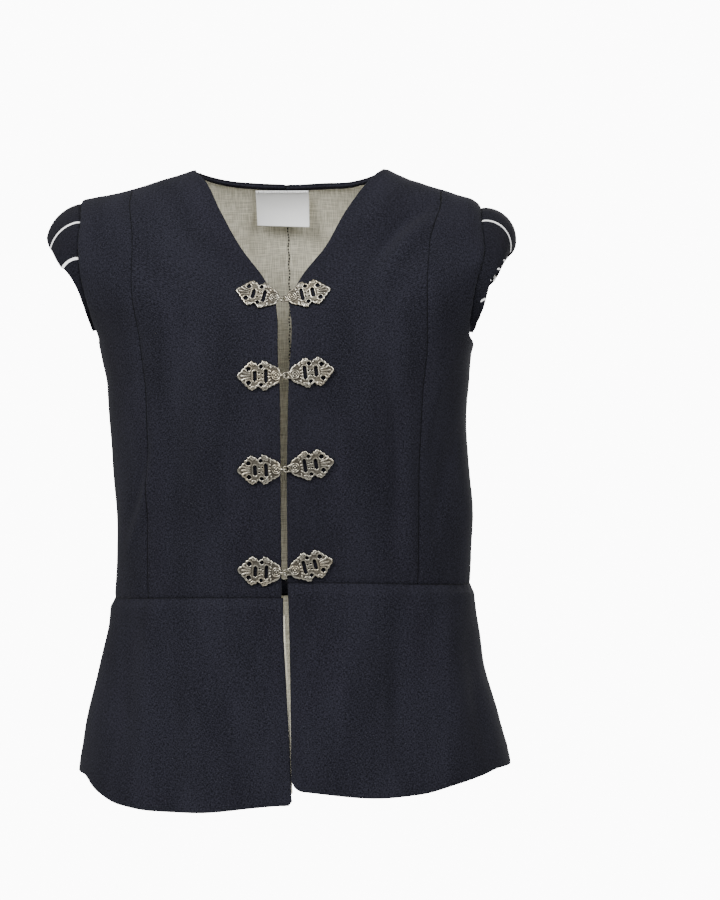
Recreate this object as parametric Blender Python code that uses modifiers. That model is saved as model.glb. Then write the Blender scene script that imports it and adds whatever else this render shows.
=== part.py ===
"""A sleeveless doublet with shoulder wings, skirts and four hook clasps, filled out as it is when worn.

The front faces -Y and +Z is up. The origin is where the doublet hangs on the wearer: midway between the
two points where its neck meets its shoulder line. Right and left are the wearer's, so right is -X.
Each cloth piece is a grid of points on one hollow form, which is a stack of rings from hem to shoulder line.
Tables give millimetres, and "drop" is the distance below the origin.
"""
import math
from collections import namedtuple

import bmesh
import bpy
import numpy as np
from mathutils import Matrix, Vector

MM = 0.001
RIGHT, LEFT = -1, 1
FRONT, BACK = "front", "back"

# Thickness of each cloth, and the space left between pieces that touch
CLOTH = 2.0
WING_CLOTH = 2.2
LINING = 1.0
LINING_GAP = 0.5
TRIM = 1.0
SEAM = 0.34
WAIST_SEAM = 0.5

# How square a ring is, and how round the wall turns over the shoulder line
RING_POWER = 2.4
RIDGE_POWER = 1.8
# Length of that turn along the cloth, as a share of its height
TURN_LENGTH = 1.2

# Drop at which the bodice starts to curve in toward the shoulder line
CHEST_DROP = 205.0
# The front's shoulder seam and the back's, as levels: 2 is the top of the shoulder line
FRONT_TOP = 1.93
BACK_TOP = 2.07
SHOULDER_SEAM = 0.0012
# Above this level the edge at the side is the armhole's, even behind the shoulder line
SHOULDER_LEVEL = 1.9

# Waist seam: drop at centre front and back, and how much lower it runs at the sides
WAIST_DROP = 401.0
WAIST_SIDE_FALL = 5.0
# The wearer's right side hangs lower and the left side higher by this much, from the chest down
HANG = 7.0
HANG_START = 100.0
HANG_FULL = 400.0
# The cloth caves in at the foot of the V neck
HOLLOW_DEPTH = 12.0
HOLLOW_WIDTH = 55.0
HOLLOW_FOOT = 172.0
HOLLOW_HEAD = 98.0

Ring = namedtuple("Ring", "drop right left front back")
BODICE_RINGS = [
    Ring(0, 227, 212, 100, 108),
    Ring(60, 227, 212, 106, 114),
    Ring(95, 224, 210, 112, 117),
    Ring(114, 217, 203, 115, 118),
    Ring(133, 207, 194, 117, 119),
    Ring(150, 194, 185, 118, 119),
    Ring(168, 184.5, 179, 118.5, 119),
    Ring(183, 181, 175.5, 119, 118),
    Ring(205, 176, 173.5, 119, 116),
    Ring(250, 173.5, 171, 117, 108),
    Ring(300, 170, 173.5, 111, 99),
    Ring(348, 167, 176.5, 106, 94),
    Ring(405, 170, 175, 102, 93),
]
SKIRT_RINGS = [
    Ring(396, 170, 175, 102, 93),
    Ring(428, 172.5, 178.5, 105, 97),
    Ring(455, 178, 181.5, 109, 102),
    Ring(481, 184, 184.5, 113.5, 107.5),
    Ring(507, 190.5, 191.5, 118.5, 113),
    Ring(534, 196.5, 200, 124, 119),
    Ring(560, 201, 208, 129, 125),
    Ring(600, 205, 215, 135, 132),
]

# The shoulder line: distance from the middle, height, and how far down the wall turns in to it
Ridge = namedtuple("Ridge", "across height front_fall back_fall")
RIDGE = [
    Ridge(0, 12, 217, 137),
    Ridge(50, 8, 213, 133),
    Ridge(80, 3, 205, 128),
    Ridge(94, 0, 195, 125),
    Ridge(117, -7.3, 170, 112),
    Ridge(140, -15.5, 135, 95),
    Ridge(163, -21.5, 100, 78),
    Ridge(185, -27, 70, 62),
    Ridge(205, -32, 55, 55),
]

# How much lower than the shoulder line the shoulder's outer end lies on each side, fading out below it
ShoulderEnd = namedtuple("ShoulderEnd", "across right left")
SHOULDER_END = [
    ShoulderEnd(86, 0, 0),
    ShoulderEnd(93, 0, 1),
    ShoulderEnd(105, 0, 3.7),
    ShoulderEnd(116, 0, 4.6),
    ShoulderEnd(128, 0, 3.3),
    ShoulderEnd(140, 0, 3),
    ShoulderEnd(151, 0, 3.1),
    ShoulderEnd(163, 0, 3.9),
    ShoulderEnd(175, -0.5, 4.4),
    ShoulderEnd(181, -1, 6.5),
    ShoulderEnd(187, -1.8, 10),
    ShoulderEnd(205, -3, 12),
]
DROOP_START = 38.0
DROOP_END = 115.0

# Edges and seams: distance from the middle toward each side
Edge = namedtuple("Edge", "drop right left")
FRONT_EDGE = [
    Edge(0, 94, 91.5),
    Edge(15, 79, 76.5),
    Edge(45, 63.5, 56.5),
    Edge(81, 43, 37.5),
    Edge(113, 18.5, 13.5),
    Edge(134, 8, 5),
    Edge(161, 5.3, 7.5),
    Edge(191, 5, 6),
    Edge(210, 3.4, 5),
    Edge(240, 2.9, 4),
    Edge(320, 2.7, 2.8),
    Edge(405, 2.5, 3),
]
LONG_SEAM = [
    Edge(35, 153, 147),
    Edge(75, 146.5, 136),
    Edge(125, 144, 133.6),
    Edge(166, 137, 133.5),
    Edge(222, 131.7, 128.7),
    Edge(300, 130.7, 125.4),
    Edge(405, 130.7, 124),
]
ARMHOLE_EDGE = [
    Edge(33, 203, 185.5),
    Edge(57, 199.5, 186.7),
    Edge(76, 199.8, 187.6),
    Edge(95, 198, 184.7),
    Edge(114, 195.3, 180),
    Edge(133, 191, 176.5),
    Edge(151, 186.7, 174),
    Edge(163, 182.5, 174),
    Edge(169, 184, 178.5),
]
UNDERARM_DROP = 169.0
UNDERARM_MARGIN = 0.5
# Levels between which the underarm is looked for, and how finely
UNDERARM_LOW = 1.0
UNDERARM_HIGH = 1.6
UNDERARM_TRIES = 601
# The centre back seam lies a little to the wearer's right of the middle
BACK_SEAM = [
    Edge(0, 6.5, -6.5),
    Edge(405, 6.5, -6.5),
]
SKIRT_EDGE = [
    Edge(401, 1.0, 3.3),
    Edge(432, 0.4, 4.3),
    Edge(463, -1.4, 5.4),
    Edge(515, -4.7, 6.7),
    Edge(566, -6.9, 7.8),
    Edge(600, -7.9, 9.2),
]
# Back neck edge: its height at each distance from the middle
Neck = namedtuple("Neck", "across height")
BACK_NECK = [
    Neck(0, -9),
    Neck(50, -7),
    Neck(72, -4.7),
    Neck(83, -2.6),
    Neck(91, -0.5),
]
SIDE_NECK = 93.0
# Drop of the hem, by the angle round from centre front (0) to centre back (180)
Hem = namedtuple("Hem", "angle right left")
HEM = [
    Hem(0, 589, 589),
    Hem(20, 597, 596.5),
    Hem(32, 597, 594),
    Hem(45, 593.5, 586.5),
    Hem(57, 584, 581),
    Hem(70, 572, 577),
    Hem(90, 573, 579),
    Hem(120, 581, 583),
    Hem(150, 587, 587),
    Hem(180, 588, 588),
]
# The skirt leaves the waist seam straight, then springs out
SKIRT_COLLAR = 3.0
SKIRT_SPRING = 2.5
SKIRT_SPRING_LENGTH = 7.0

# Wing: its width on each side by the distance down the armhole, and how it bends down from its seam to its
# edge, in degrees. Where it is narrow it bends less.
WingWidth = namedtuple("WingWidth", "drop right left")
WING_WIDTH = [
    WingWidth(30, 50, 61),
    WingWidth(40, 47, 58),
    WingWidth(50, 43, 49.5),
    WingWidth(58, 38, 43),
    WingWidth(74, 28.5, 32),
    WingWidth(84, 22, 25.5),
    WingWidth(92, 15.5, 20.3),
    WingWidth(105, 8.5, 13),
    WingWidth(118, 4.8, 12.5),
    WingWidth(132, 3.6, 11),
    WingWidth(145, 3, 7.5),
    WingWidth(158, 2.6, 3.8),
]
WING_BEND = {RIGHT: (10.0, 78.0), LEFT: (-3.0, 105.0)}
WING_FULL_BEND = 24.0
# The wing is sewn in this much below the armhole's edge at the shoulder, and flush with it from the last drop
WING_DIP = {RIGHT: 4.0, LEFT: 1.5}
WING_DIP_START = 75.0
WING_DIP_END = 125.0
WING_ROOT = 2.0
WING_ROOT_SHARE = 0.4
WING_STEPS = 7
WING_END_LEVEL = 1.26

# Rows of a bodice piece: below the chest, just above the underarm, and from there to its top
LOW_ROWS = 7
ARM_ROWS = (0.0, 0.006, 0.02, 0.05)
HIGH_ROWS = 9
HIGH_START = 0.11
# The front edge turns at the foot of the V neck, so a row runs through it
V_FOOT_ACROSS = 6.0
V_FOOT_DROP = 134.0
# Columns of a back's grid: from its centre seam to where the neck edge turns, on to the neck's side, and
# out to the armhole. The rows bend toward the neck edge only near the top.
NECK_TURN = 79.0
BACK_COLUMNS = (4, 2, 6)
NECK_BEND = 3
FRONT_COLUMNS = 8
SIDE_COLUMNS = 5
SKIRT_COLUMNS = 11
SKIRT_ROWS = 7
# A grid's rows and angles depend on each other, so they are worked out this many times
ROUNDS = 12

# The dark band inside the back neck edge
BINDING_TOP = 0.3
BINDING_DEPTH = 4.6
# The linings end this far inside the waist seam, the neck edge and the hem
LINING_WAIST_TRIM = 0.5
LINING_NECK_TRIM = 2.4
LINING_RISE = 6.0
MOST_TRIM = 0.9
LABEL_CENTRE = -10.5
LABEL_WIDTH = 53.5
LABEL_HEIGHT = 29.8
LABEL_DROP = 10.4
LABEL_INSET = 5.0
LABEL_POINTS = 5

# Clasps: drop and place of the join, and how far each half's outer end tilts up, in degrees
Clasp = namedtuple("Clasp", "drop join hook_tilt eye_tilt")
CLASPS = [
    Clasp(131, -5.0, 14, 14),
    Clasp(202, -1.8, -1, 7),
    Clasp(288, -2.0, -2.5, 9),
    Clasp(384, -2.4, 3, 15),
]
PLATE_THICKNESS = 1.8
PLATE_LIFT = 0.45
# Where a clasp's seat is measured on the cloth, along the half and up it
SEAT_ALONG = (1.0, 10.0, 20.0, 30.0, 41.0)
SEAT_UP = (-14.0, -7.0, 0.0, 7.0, 14.0)
# Half height of a clasp plate along its length, from its inner end to its tip
Plate = namedtuple("Plate", "along half")
PLATE_OUTLINE = [
    Plate(0, 0.8),
    Plate(0.7, 4.0),
    Plate(3.4, 7.4),
    Plate(9.5, 10.4),
    Plate(16.2, 14.0),
    Plate(18.6, 12.2),
    Plate(21.0, 10.0),
    Plate(24.0, 12.2),
    Plate(27.5, 13.5),
    Plate(31.0, 11.2),
    Plate(37.2, 4.8),
    Plate(40.4, 1.6),
    Plate(41.0, 0.6),
]
PLATE_LENGTH = 41.0
PLATE_STEPS = 17
PLATE_START = 0.12
PLATE_END = math.pi - 0.05
# Slots and holes through a plate: middle, width and height; a round one is as wide as it is high
Hole = namedtuple("Hole", "along up wide high")
PLATE_HOLES = [
    Hole(24.3, 0.4, 2.8, 9.6),
    Hole(14.0, 0.4, 2.8, 12.4),
    Hole(18.2, 8.4, 3.0, 3.0),
    Hole(18.2, -8.4, 3.0, 3.0),
    Hole(30.0, 6.2, 3.6, 3.6),
    Hole(30.0, -6.2, 3.6, 3.6),
    Hole(20.4, 2.4, 1.7, 1.7),
    Hole(20.4, -2.4, 1.7, 1.7),
    Hole(17.3, 1.9, 1.4, 1.4),
    Hole(17.3, -1.9, 1.4, 1.4),
]
HOLE_SIDES = 8
FINE_HOLE = 2.0
FINE_HOLE_SIDES = 6
BOSS_PLACE = 4.6
BOSS_RADIUS = 4.3
BOSS_TOP_RADIUS = 2.6
BOSS_HEIGHT = 3.0
BOSS_FOOT = 0.5
BOSS_SIDES = 12
# The eye's loop stands out past the plate's inner end
LOOP_LENGTH = 7.0
LOOP_HALF = 3.3
LOOP_TURNS = (165, 135, 105)
LOOP_NECK = 0.6
LOOP_HOLE = Hole(-3.4, 0, 4.0, 3.8)
# The hook's wire: its bends, by the distance along the half and off the cloth
HOOK_WIRE = 0.8
HOOK_REACH = 4.6
Bend = namedtuple("Bend", "along off")
HOOK_BENDS = [
    Bend(2.4, 1.7),
    Bend(0.6, 2.8),
    Bend(-0.8, 3.3),
    Bend(-2.7, 3.3),
    Bend(-4.0, 2.8),
    Bend(-4.6, 1.6),
    Bend(-4.6, -0.6),
]
WELD = 0.01

NAVY = (0.017, 0.017, 0.023)
WING_NAVY = (0.018, 0.018, 0.023)
LINEN = (0.45, 0.42, 0.34)
WHITE = (0.80, 0.80, 0.78)
SILVER = (0.42, 0.41, 0.37)


def clear_scene():
    for old in list(bpy.data.objects):
        bpy.data.objects.remove(old)


def new_collection(name):
    collection = bpy.data.collections.new(name)
    bpy.context.scene.collection.children.link(collection)
    return collection


def material(name, colour, roughness, metallic=0.0):
    made = bpy.data.materials.new(name)
    made.use_nodes = True
    shader = made.node_tree.nodes["Principled BSDF"]
    shader.inputs["Base Color"].default_value = (*colour, 1.0)
    shader.inputs["Roughness"].default_value = roughness
    shader.inputs["Metallic"].default_value = metallic
    return made


def read(table, column, key):
    """Reads a column of a table at any key, on a smooth curve through its rows that never overshoots."""
    keys = np.array([row[0] for row in table], float)
    values = np.array([getattr(row, column) for row in table], float)
    steps = np.diff(keys)
    slopes = np.diff(values) / steps
    before, after = slopes[:-1], slopes[1:]
    level = before * after <= 0
    bends = np.where(level, 0.0, 2 * before * after / np.where(level, 1.0, before + after))
    tangents = np.concatenate([slopes[:1], bends, slopes[-1:]])
    key = np.clip(key, keys[0], keys[-1])
    row = np.clip(np.searchsorted(keys, key) - 1, 0, len(steps) - 1)
    part = (key - keys[row]) / steps[row]
    start = values[row] * (1 + 2 * part) + tangents[row] * steps[row] * part
    end = values[row + 1] * (3 - 2 * part) + tangents[row + 1] * steps[row] * (part - 1)
    return start * (1 - part) ** 2 + end * part ** 2


def ease(value, start, end):
    """Goes smoothly from 0 at the start to 1 at the end."""
    part = np.clip((value - start) / (end - start), 0.0, 1.0)
    return part * part * (3 - 2 * part)


def side_name(side):
    return "right" if side == RIGHT else "left"


def ring_across(rings, side, angle, drop):
    """Distance from the middle at an angle round a ring, where 0 faces the front or back and 90 the side."""
    turn = np.sin(np.radians(angle))
    return read(rings, side_name(side), drop) * np.sign(turn) * np.abs(turn) ** (2 / RING_POWER)


def ring_angle(rings, side, across, drop):
    """Angle round a ring that lies at a distance from the middle."""
    part = np.clip(across / read(rings, side_name(side), drop), -1.0, 1.0)
    return np.degrees(np.arcsin(np.sign(part) * np.abs(part) ** (RING_POWER / 2)))


def ring_depth(rings, face, angle, drop):
    """Distance of the wall in front of the middle plane, or behind it."""
    return read(rings, face, drop) * np.abs(np.cos(np.radians(angle))) ** (2 / RING_POWER)


def waist_drop(angle):
    return WAIST_DROP + WAIST_SIDE_FALL * np.sin(np.radians(angle)) ** 2


def fall_part(face, across):
    """Share of the way from the chest level to the shoulder line that is straight, and the turn's size."""
    fall = read(RIDGE, face + "_fall", np.abs(across))
    straight = np.maximum(CHEST_DROP + read(RIDGE, "height", np.abs(across)) - fall, 0.0)
    return straight / (straight + TURN_LENGTH * fall), straight, fall


def drop_at(face, across, angle, level):
    """Drop of a level: 0 is the waist seam, 1 the chest and 2 the shoulder line. Also gives the turn-in."""
    share, straight, fall = fall_part(face, across)
    waist = waist_drop(angle)
    low = waist + (CHEST_DROP - waist) * level
    climb = np.clip(level - 1, 0.0, 1.0)
    turn = np.radians(90) * np.clip((climb - share) / (1 - share), 0.0, 1.0)
    rise = np.where(climb < share, straight * climb / np.maximum(share, 1e-6), straight)
    high = CHEST_DROP - rise - fall * np.sin(turn) ** (2 / RIDGE_POWER)
    depth_part = np.where(level > 1, np.cos(turn) ** (2 / RIDGE_POWER), 1.0)
    return np.where(level > 1, high, low), depth_part


def hang(side, face, angle, drop):
    """How much lower the cloth hangs on the wearer's right, and higher on the left."""
    share = 1.0 if face == FRONT else np.abs(np.sin(np.radians(angle)))
    return -side * HANG * share * ease(drop, HANG_START, HANG_FULL)


def droop(side, across, drop):
    """How much lower the outer end of the shoulder lies than the shoulder line."""
    return read(SHOULDER_END, side_name(side), across) * (1 - ease(drop, DROOP_START, DROOP_END))


def hollow(across, drop):
    """How far the front caves in round the foot of the V neck."""
    return HOLLOW_DEPTH * np.exp(-(across / HOLLOW_WIDTH) ** 2) * ease(-drop, -HOLLOW_FOOT, -HOLLOW_HEAD)


def bodice_point(side, face, angle, level):
    """A point of the bodice's inner wall. A back level over 2 has crossed the shoulder line to the front."""
    angle, level = np.broadcast_arrays(np.asarray(angle, float), np.asarray(level, float))
    if face == BACK and np.any(level > 2):
        behind = bodice_point(side, BACK, angle, np.minimum(level, 2.0))
        before = bodice_point(side, FRONT, angle, np.minimum(4 - level, 2.0))
        return np.where((level > 2)[..., None], before, behind)
    drop = np.full(angle.shape, CHEST_DROP)
    for _ in range(ROUNDS):
        across = ring_across(BODICE_RINGS, side, angle, drop)
        drop, depth_part = drop_at(face, across, angle, level)
    depth = ring_depth(BODICE_RINGS, face, angle, drop) * depth_part
    depth = depth * (1 - CLOTH / read(BODICE_RINGS, face, drop))
    if face == FRONT:
        depth = depth - hollow(across, drop) * depth_part
    toward = -1 if face == FRONT else 1
    height = -drop - hang(side, face, angle, drop) - droop(side, across, drop)
    across = across * (1 - CLOTH / read(BODICE_RINGS, side_name(side), drop))
    return MM * np.stack([side * across, toward * depth, height], axis=-1)


def skirt_point(side, face, angle, drop):
    """A point of the skirt's inner wall."""
    angle, drop = np.broadcast_arrays(np.asarray(angle, float), np.asarray(drop, float))
    below = drop - waist_drop(angle)
    spring = SKIRT_SPRING * ease(below, SKIRT_COLLAR, SKIRT_COLLAR + SKIRT_SPRING_LENGTH) - CLOTH
    flared = np.where(below < SKIRT_COLLAR, waist_drop(angle), drop)
    across = ring_across(SKIRT_RINGS, side, angle, flared)
    across = across * (1 + spring / read(SKIRT_RINGS, side_name(side), flared))
    depth = ring_depth(SKIRT_RINGS, face, angle, flared)
    depth = depth * (1 + spring / read(SKIRT_RINGS, face, flared))
    toward = -1 if face == FRONT else 1
    height = -drop - hang(side, face, angle, drop)
    return MM * np.stack([side * across, toward * depth, height], axis=-1)


def grid_normals(points):
    """Directions that point out of the wall at each point of a grid."""
    along = np.gradient(points, axis=1)
    up = np.gradient(points, axis=0)
    normals = np.cross(along, up)
    normals /= np.linalg.norm(normals, axis=-1, keepdims=True)
    outward = np.sum(normals[..., :2] * points[..., :2])
    return normals * np.sign(outward)


def moved_in(points, distance):
    """Points of a wall moved into the hollow by a distance."""
    return points - MM * distance * grid_normals(points)


def trimmed(points, first, last):
    """Shortens a grid of points at its first and last rows, by a length measured on each column."""
    points = points.copy()
    for edge, inner, length in ((0, 1, first), (-1, -2, last)):
        along = points[inner] - points[edge]
        full = np.linalg.norm(along, axis=-1, keepdims=True)
        points[edge] += along * np.minimum(length * MM / full, MOST_TRIM)
    return points


def edge_angles(table, side, face, levels, shift):
    """Angle of an edge at each level, moved by the shift along the wall, in millimetres."""
    drop = np.full(len(levels), CHEST_DROP)
    angle = np.full(len(levels), 45.0)
    for _ in range(ROUNDS):
        across = read(table, side_name(side), drop) + shift
        angle = ring_angle(BODICE_RINGS, side, across, drop)
        drop, _ = drop_at(face, across, angle, np.minimum(levels, 4 - levels))
    return angle


def side_angle(face, drop):
    """Angle just short of the side seam, by half a seam's gap."""
    depth = read(BODICE_RINGS, face, drop)
    return np.degrees(np.arccos((SEAM / 2 / depth) ** (RING_POWER / 2)))


def outer_angles(side, face, levels):
    """Angles of the side seam and, above the underarm, of the armhole's edge."""
    angles = edge_angles(ARMHOLE_EDGE, side, face, levels, 0.0)
    across = ring_across(BODICE_RINGS, side, angles, UNDERARM_DROP)
    drop, _ = drop_at(face, across, angles, levels)
    seam = side_angle(face, drop)
    under = (drop > UNDERARM_DROP - UNDERARM_MARGIN) & (levels < SHOULDER_LEVEL)
    return np.where(under, seam, np.minimum(angles, seam))


def underarm_level(side, face):
    """Level at which the side seam meets the armhole."""
    levels = np.linspace(UNDERARM_LOW, UNDERARM_HIGH, UNDERARM_TRIES)
    across = np.full(UNDERARM_TRIES, read(BODICE_RINGS, side_name(side), UNDERARM_DROP))
    drops, _ = drop_at(face, across, np.full(UNDERARM_TRIES, 90.0), levels)
    return float(levels[np.argmin(np.abs(drops - UNDERARM_DROP))])


def level_of(face, across, drop):
    """Level of a point on the bodice, from its distance from the middle and its drop."""
    share, straight, fall = fall_part(face, across)
    risen = CHEST_DROP - drop
    turn = np.arcsin(np.clip((risen - straight) / fall, 0.0, 1.0) ** (RIDGE_POWER / 2))
    high = share + (1 - share) * turn / np.radians(90)
    return 1 + np.where(risen < straight, share * risen / np.maximum(straight, 1e-6), high)


def back_tops(side, angles):
    """Level of the back's top edge: the neck edge near the middle, the shoulder seam farther out."""
    across = np.abs(ring_across(BODICE_RINGS, side, angles, 0.0))
    neck = level_of(BACK, across, -read(BACK_NECK, "height", across))
    last = BACK_NECK[-1]
    toward_seam = ease(across, last.across, SIDE_NECK)
    return neck + (BACK_TOP - SHOULDER_SEAM - neck) * toward_seam


def grid_object(name, points, look, collection, thickness, offset=1.0):
    """Makes an open sheet of cloth from a grid of points and gives it its wall."""
    rows, columns, _ = points.shape
    sheet = bmesh.new()
    verts = [[sheet.verts.new(points[row, column]) for column in range(columns)] for row in range(rows)]
    for row in range(rows - 1):
        for column in range(columns - 1):
            corners = (verts[row][column], verts[row][column + 1],
                       verts[row + 1][column + 1], verts[row + 1][column])
            sheet.faces.new(corners)
    sheet.normal_update()
    outward = sum(face.normal.dot(Vector((*face.calc_center_median().xy, 0.0))) for face in sheet.faces)
    if outward < 0:
        bmesh.ops.reverse_faces(sheet, faces=sheet.faces)
    mesh = bpy.data.meshes.new(name)
    sheet.to_mesh(mesh)
    sheet.free()
    mesh.shade_smooth()
    piece = bpy.data.objects.new(name, mesh)
    collection.objects.link(piece)
    piece.data.materials.append(look)
    wall = piece.modifiers.new("Wall", "SOLIDIFY")
    wall.thickness = thickness * MM
    wall.offset = offset
    return piece


def columns_between(edges, counts):
    """Angles across a piece at each level, evenly spread between the named edges."""
    spans = []
    for start, end, count in zip(edges[:-1], edges[1:], counts):
        parts = np.linspace(0, 1, count + 1)[(1 if spans else 0):]
        spans.append(start[:, None] + (end - start)[:, None] * parts[None, :])
    return np.concatenate(spans, axis=1)


def bodice_levels(side, face, top):
    """Levels of a bodice piece's rows, closer together round the underarm and over the shoulder."""
    underarm = underarm_level(side, face)
    low = np.append(np.linspace(0.0, 1.0, LOW_ROWS), 0.5 * (1 + underarm))
    arm = underarm + np.array(ARM_ROWS)
    high = np.linspace(underarm + HIGH_START, top, HIGH_ROWS)
    levels = np.concatenate([low, arm, high])
    levels[0] = WAIST_SEAM / 2 / (WAIST_DROP - CHEST_DROP)
    return levels


def front_centre(side, look, collection):
    levels = bodice_levels(side, FRONT, FRONT_TOP - SHOULDER_SEAM)
    foot = level_of(FRONT, V_FOOT_ACROSS, V_FOOT_DROP)
    levels = np.sort(np.append(levels, foot))
    front = edge_angles(FRONT_EDGE, side, FRONT, levels, 0.0)
    seam = edge_angles(LONG_SEAM, side, FRONT, levels, -SEAM / 2)
    angles = columns_between([front, seam], [FRONT_COLUMNS])
    points = bodice_point(side, FRONT, angles, levels[:, None])
    return grid_object("front_centre_" + side_name(side), points, look, collection, CLOTH)


def front_side_points(side):
    levels = bodice_levels(side, FRONT, FRONT_TOP - SHOULDER_SEAM)
    seam = edge_angles(LONG_SEAM, side, FRONT, levels, SEAM / 2)
    outer = outer_angles(side, FRONT, levels)
    angles = columns_between([seam, outer], [SIDE_COLUMNS])
    return bodice_point(side, FRONT, angles, levels[:, None])


def front_side(side, look, collection):
    return grid_object("front_side_" + side_name(side), front_side_points(side), look, collection, CLOTH)


def back_grid(side):
    """Angles and levels of the grid of a back piece."""
    levels = bodice_levels(side, BACK, BACK_TOP - SHOULDER_SEAM)
    centre = edge_angles(BACK_SEAM, side, BACK, levels, SEAM / 2)
    inner_neck, neck = (np.full(len(levels), ring_angle(BODICE_RINGS, side, across, 0.0))
                        for across in (NECK_TURN, SIDE_NECK))
    outer = outer_angles(side, BACK, levels)
    angles = columns_between([centre, inner_neck, neck, outer], BACK_COLUMNS)
    tops = back_tops(side, angles)
    full = BACK_TOP - SHOULDER_SEAM
    part = np.clip(levels - 1.0, 0.0, None)[:, None] / (full - 1.0)
    return angles, levels[:, None] - (full - tops) * part ** NECK_BEND


def back_points(side):
    angles, levels = back_grid(side)
    return bodice_point(side, BACK, angles, levels)


def back_piece(side, look, collection):
    return grid_object("back_" + side_name(side), back_points(side), look, collection, CLOTH)


def armhole_side(side, face):
    """Points of the piece that holds one side of the armhole, and the levels of its rows there."""
    if face == FRONT:
        return front_side_points(side), bodice_levels(side, FRONT, FRONT_TOP - SHOULDER_SEAM)
    return back_points(side), bodice_levels(side, BACK, BACK_TOP - SHOULDER_SEAM)


def back_lining(side, look, collection):
    points = trimmed(moved_in(back_points(side), LINING_GAP + LINING), LINING_WAIST_TRIM, LINING_NECK_TRIM)
    return grid_object("lining_back_" + side_name(side), points, look, collection, LINING)


def skirt_grid(side, face, inner_edge):
    """Points of a skirt piece from an inner edge to the side seam, and from the waist seam to the hem."""
    head = np.array([0.0, SKIRT_COLLAR, SKIRT_COLLAR + 0.5 * SKIRT_SPRING_LENGTH,
                     SKIRT_COLLAR + SKIRT_SPRING_LENGTH])
    lower = np.linspace(0.0, 1.0, SKIRT_ROWS + 1)[1:]
    angle = np.full((len(head) + SKIRT_ROWS, SKIRT_COLUMNS + 1), 45.0)
    outward = np.linspace(0.0, 1.0, SKIRT_COLUMNS + 1)[None, :]
    for _ in range(ROUNDS):
        hem = read(HEM, side_name(side), angle[-1] if face == FRONT else 180 - angle[-1])
        waist = waist_drop(angle[0]) + WAIST_SEAM / 2
        start = waist + head[-1]
        drops = np.concatenate([waist + head[:, None], start + (hem - start) * lower[:, None]])
        inner = inner_edge(drops[:, :1])
        angle = inner + (side_angle(face, CHEST_DROP) - inner) * outward
    return skirt_point(side, face, angle, drops)


def skirt_front_points(side):
    def inner_edge(drops):
        across = read(SKIRT_EDGE, side_name(side), drops)
        return ring_angle(SKIRT_RINGS, side, across, drops)
    return skirt_grid(side, FRONT, inner_edge)


def skirt_front(side, look, collection):
    points = skirt_front_points(side)
    return grid_object("skirt_front_" + side_name(side), points, look, collection, CLOTH)


def skirt_back_points():
    def inner_edge(drops):
        return np.zeros(drops.shape)
    right = skirt_grid(RIGHT, BACK, inner_edge)
    left = skirt_grid(LEFT, BACK, inner_edge)
    return np.concatenate([right[:, ::-1], left[:, 1:]], axis=1)


def skirt_back(look, collection):
    return grid_object("skirt_back", skirt_back_points(), look, collection, CLOTH)


def skirt_lining(name, points, look, collection):
    points = trimmed(moved_in(points, LINING_GAP + LINING)[1:], 0.0, LINING_RISE)
    return grid_object(name, points, look, collection, LINING)


def neck_binding(look, collection):
    edges = []
    for side in (RIGHT, LEFT):
        points = moved_in(back_points(side), 2 * LINING_GAP + LINING + TRIM)[-2:, :sum(BACK_COLUMNS[:2])]
        edges.append(points[:, ::-1] if side == RIGHT else points)
    points = np.concatenate(edges, axis=1)
    lower, upper = points
    down = lower - upper
    down /= np.linalg.norm(down, axis=-1, keepdims=True)
    depths = MM * np.array([BINDING_DEPTH, 0.5 * BINDING_DEPTH, BINDING_TOP])
    strip = upper[None] + down[None] * depths[:, None, None]
    return grid_object("neck_binding", strip, look, collection, TRIM)


def label(look, collection):
    across = LABEL_CENTRE + LABEL_WIDTH * np.linspace(-0.5, 0.5, LABEL_POINTS)
    drops = LABEL_DROP + LABEL_HEIGHT * np.linspace(0.0, 1.0, LABEL_POINTS)
    grid = np.zeros((len(drops), len(across), 3))
    for column, place in enumerate(across):
        side = RIGHT if place < 0 else LEFT
        reach = np.full(len(drops), abs(place))
        levels = level_of(BACK, reach, drops)
        grid[:, column] = bodice_point(side, BACK, ring_angle(BODICE_RINGS, side, reach, drops), levels)
    points = moved_in(grid, LABEL_INSET)
    return grid_object("label", points, look, collection, TRIM)


def wing(side, look, collection):
    """The wing's root follows the armhole from its front foot over the shoulder to its back foot."""
    halves = []
    for face in (FRONT, BACK):
        points, levels = armhole_side(side, face)
        rim = points[:, -1] + 0.5 * CLOTH * MM * grid_normals(points)[:, -1]
        rim[:, 0] += MM * (0.5 * CLOTH * grid_normals(points)[:, -1, 0] + side * SEAM)
        rim = rim[levels >= WING_END_LEVEL]
        halves.append(rim if face == FRONT else rim[:-1][::-1])
    root = np.concatenate(halves, axis=0)
    root[:, 2] -= MM * WING_DIP[side] * (1 - ease(-root[:, 2] / MM, WING_DIP_START, WING_DIP_END))
    start, end = (math.radians(value) for value in WING_BEND[side])
    parts = (np.arange(WING_STEPS) + 0.5) / WING_STEPS
    rows = []
    for point in root:
        width = read(WING_WIDTH, side_name(side), np.array(-point[2] / MM))
        reach = min(WING_ROOT, WING_ROOT_SHARE * width)
        row = [point, point + np.array([side * reach * MM, 0.0, 0.0])]
        step = (width - reach) / WING_STEPS
        turn = (end - start) * min(1.0, width / WING_FULL_BEND)
        for part in parts:
            bend = start + turn * part
            move = np.array([side * math.cos(bend), 0.0, -math.sin(bend)]) * step * MM
            row.append(row[-1] + move)
        rows.append(row)
    return grid_object("wing_" + side_name(side), np.array(rows), look, collection, WING_CLOTH, 0.0)


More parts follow.
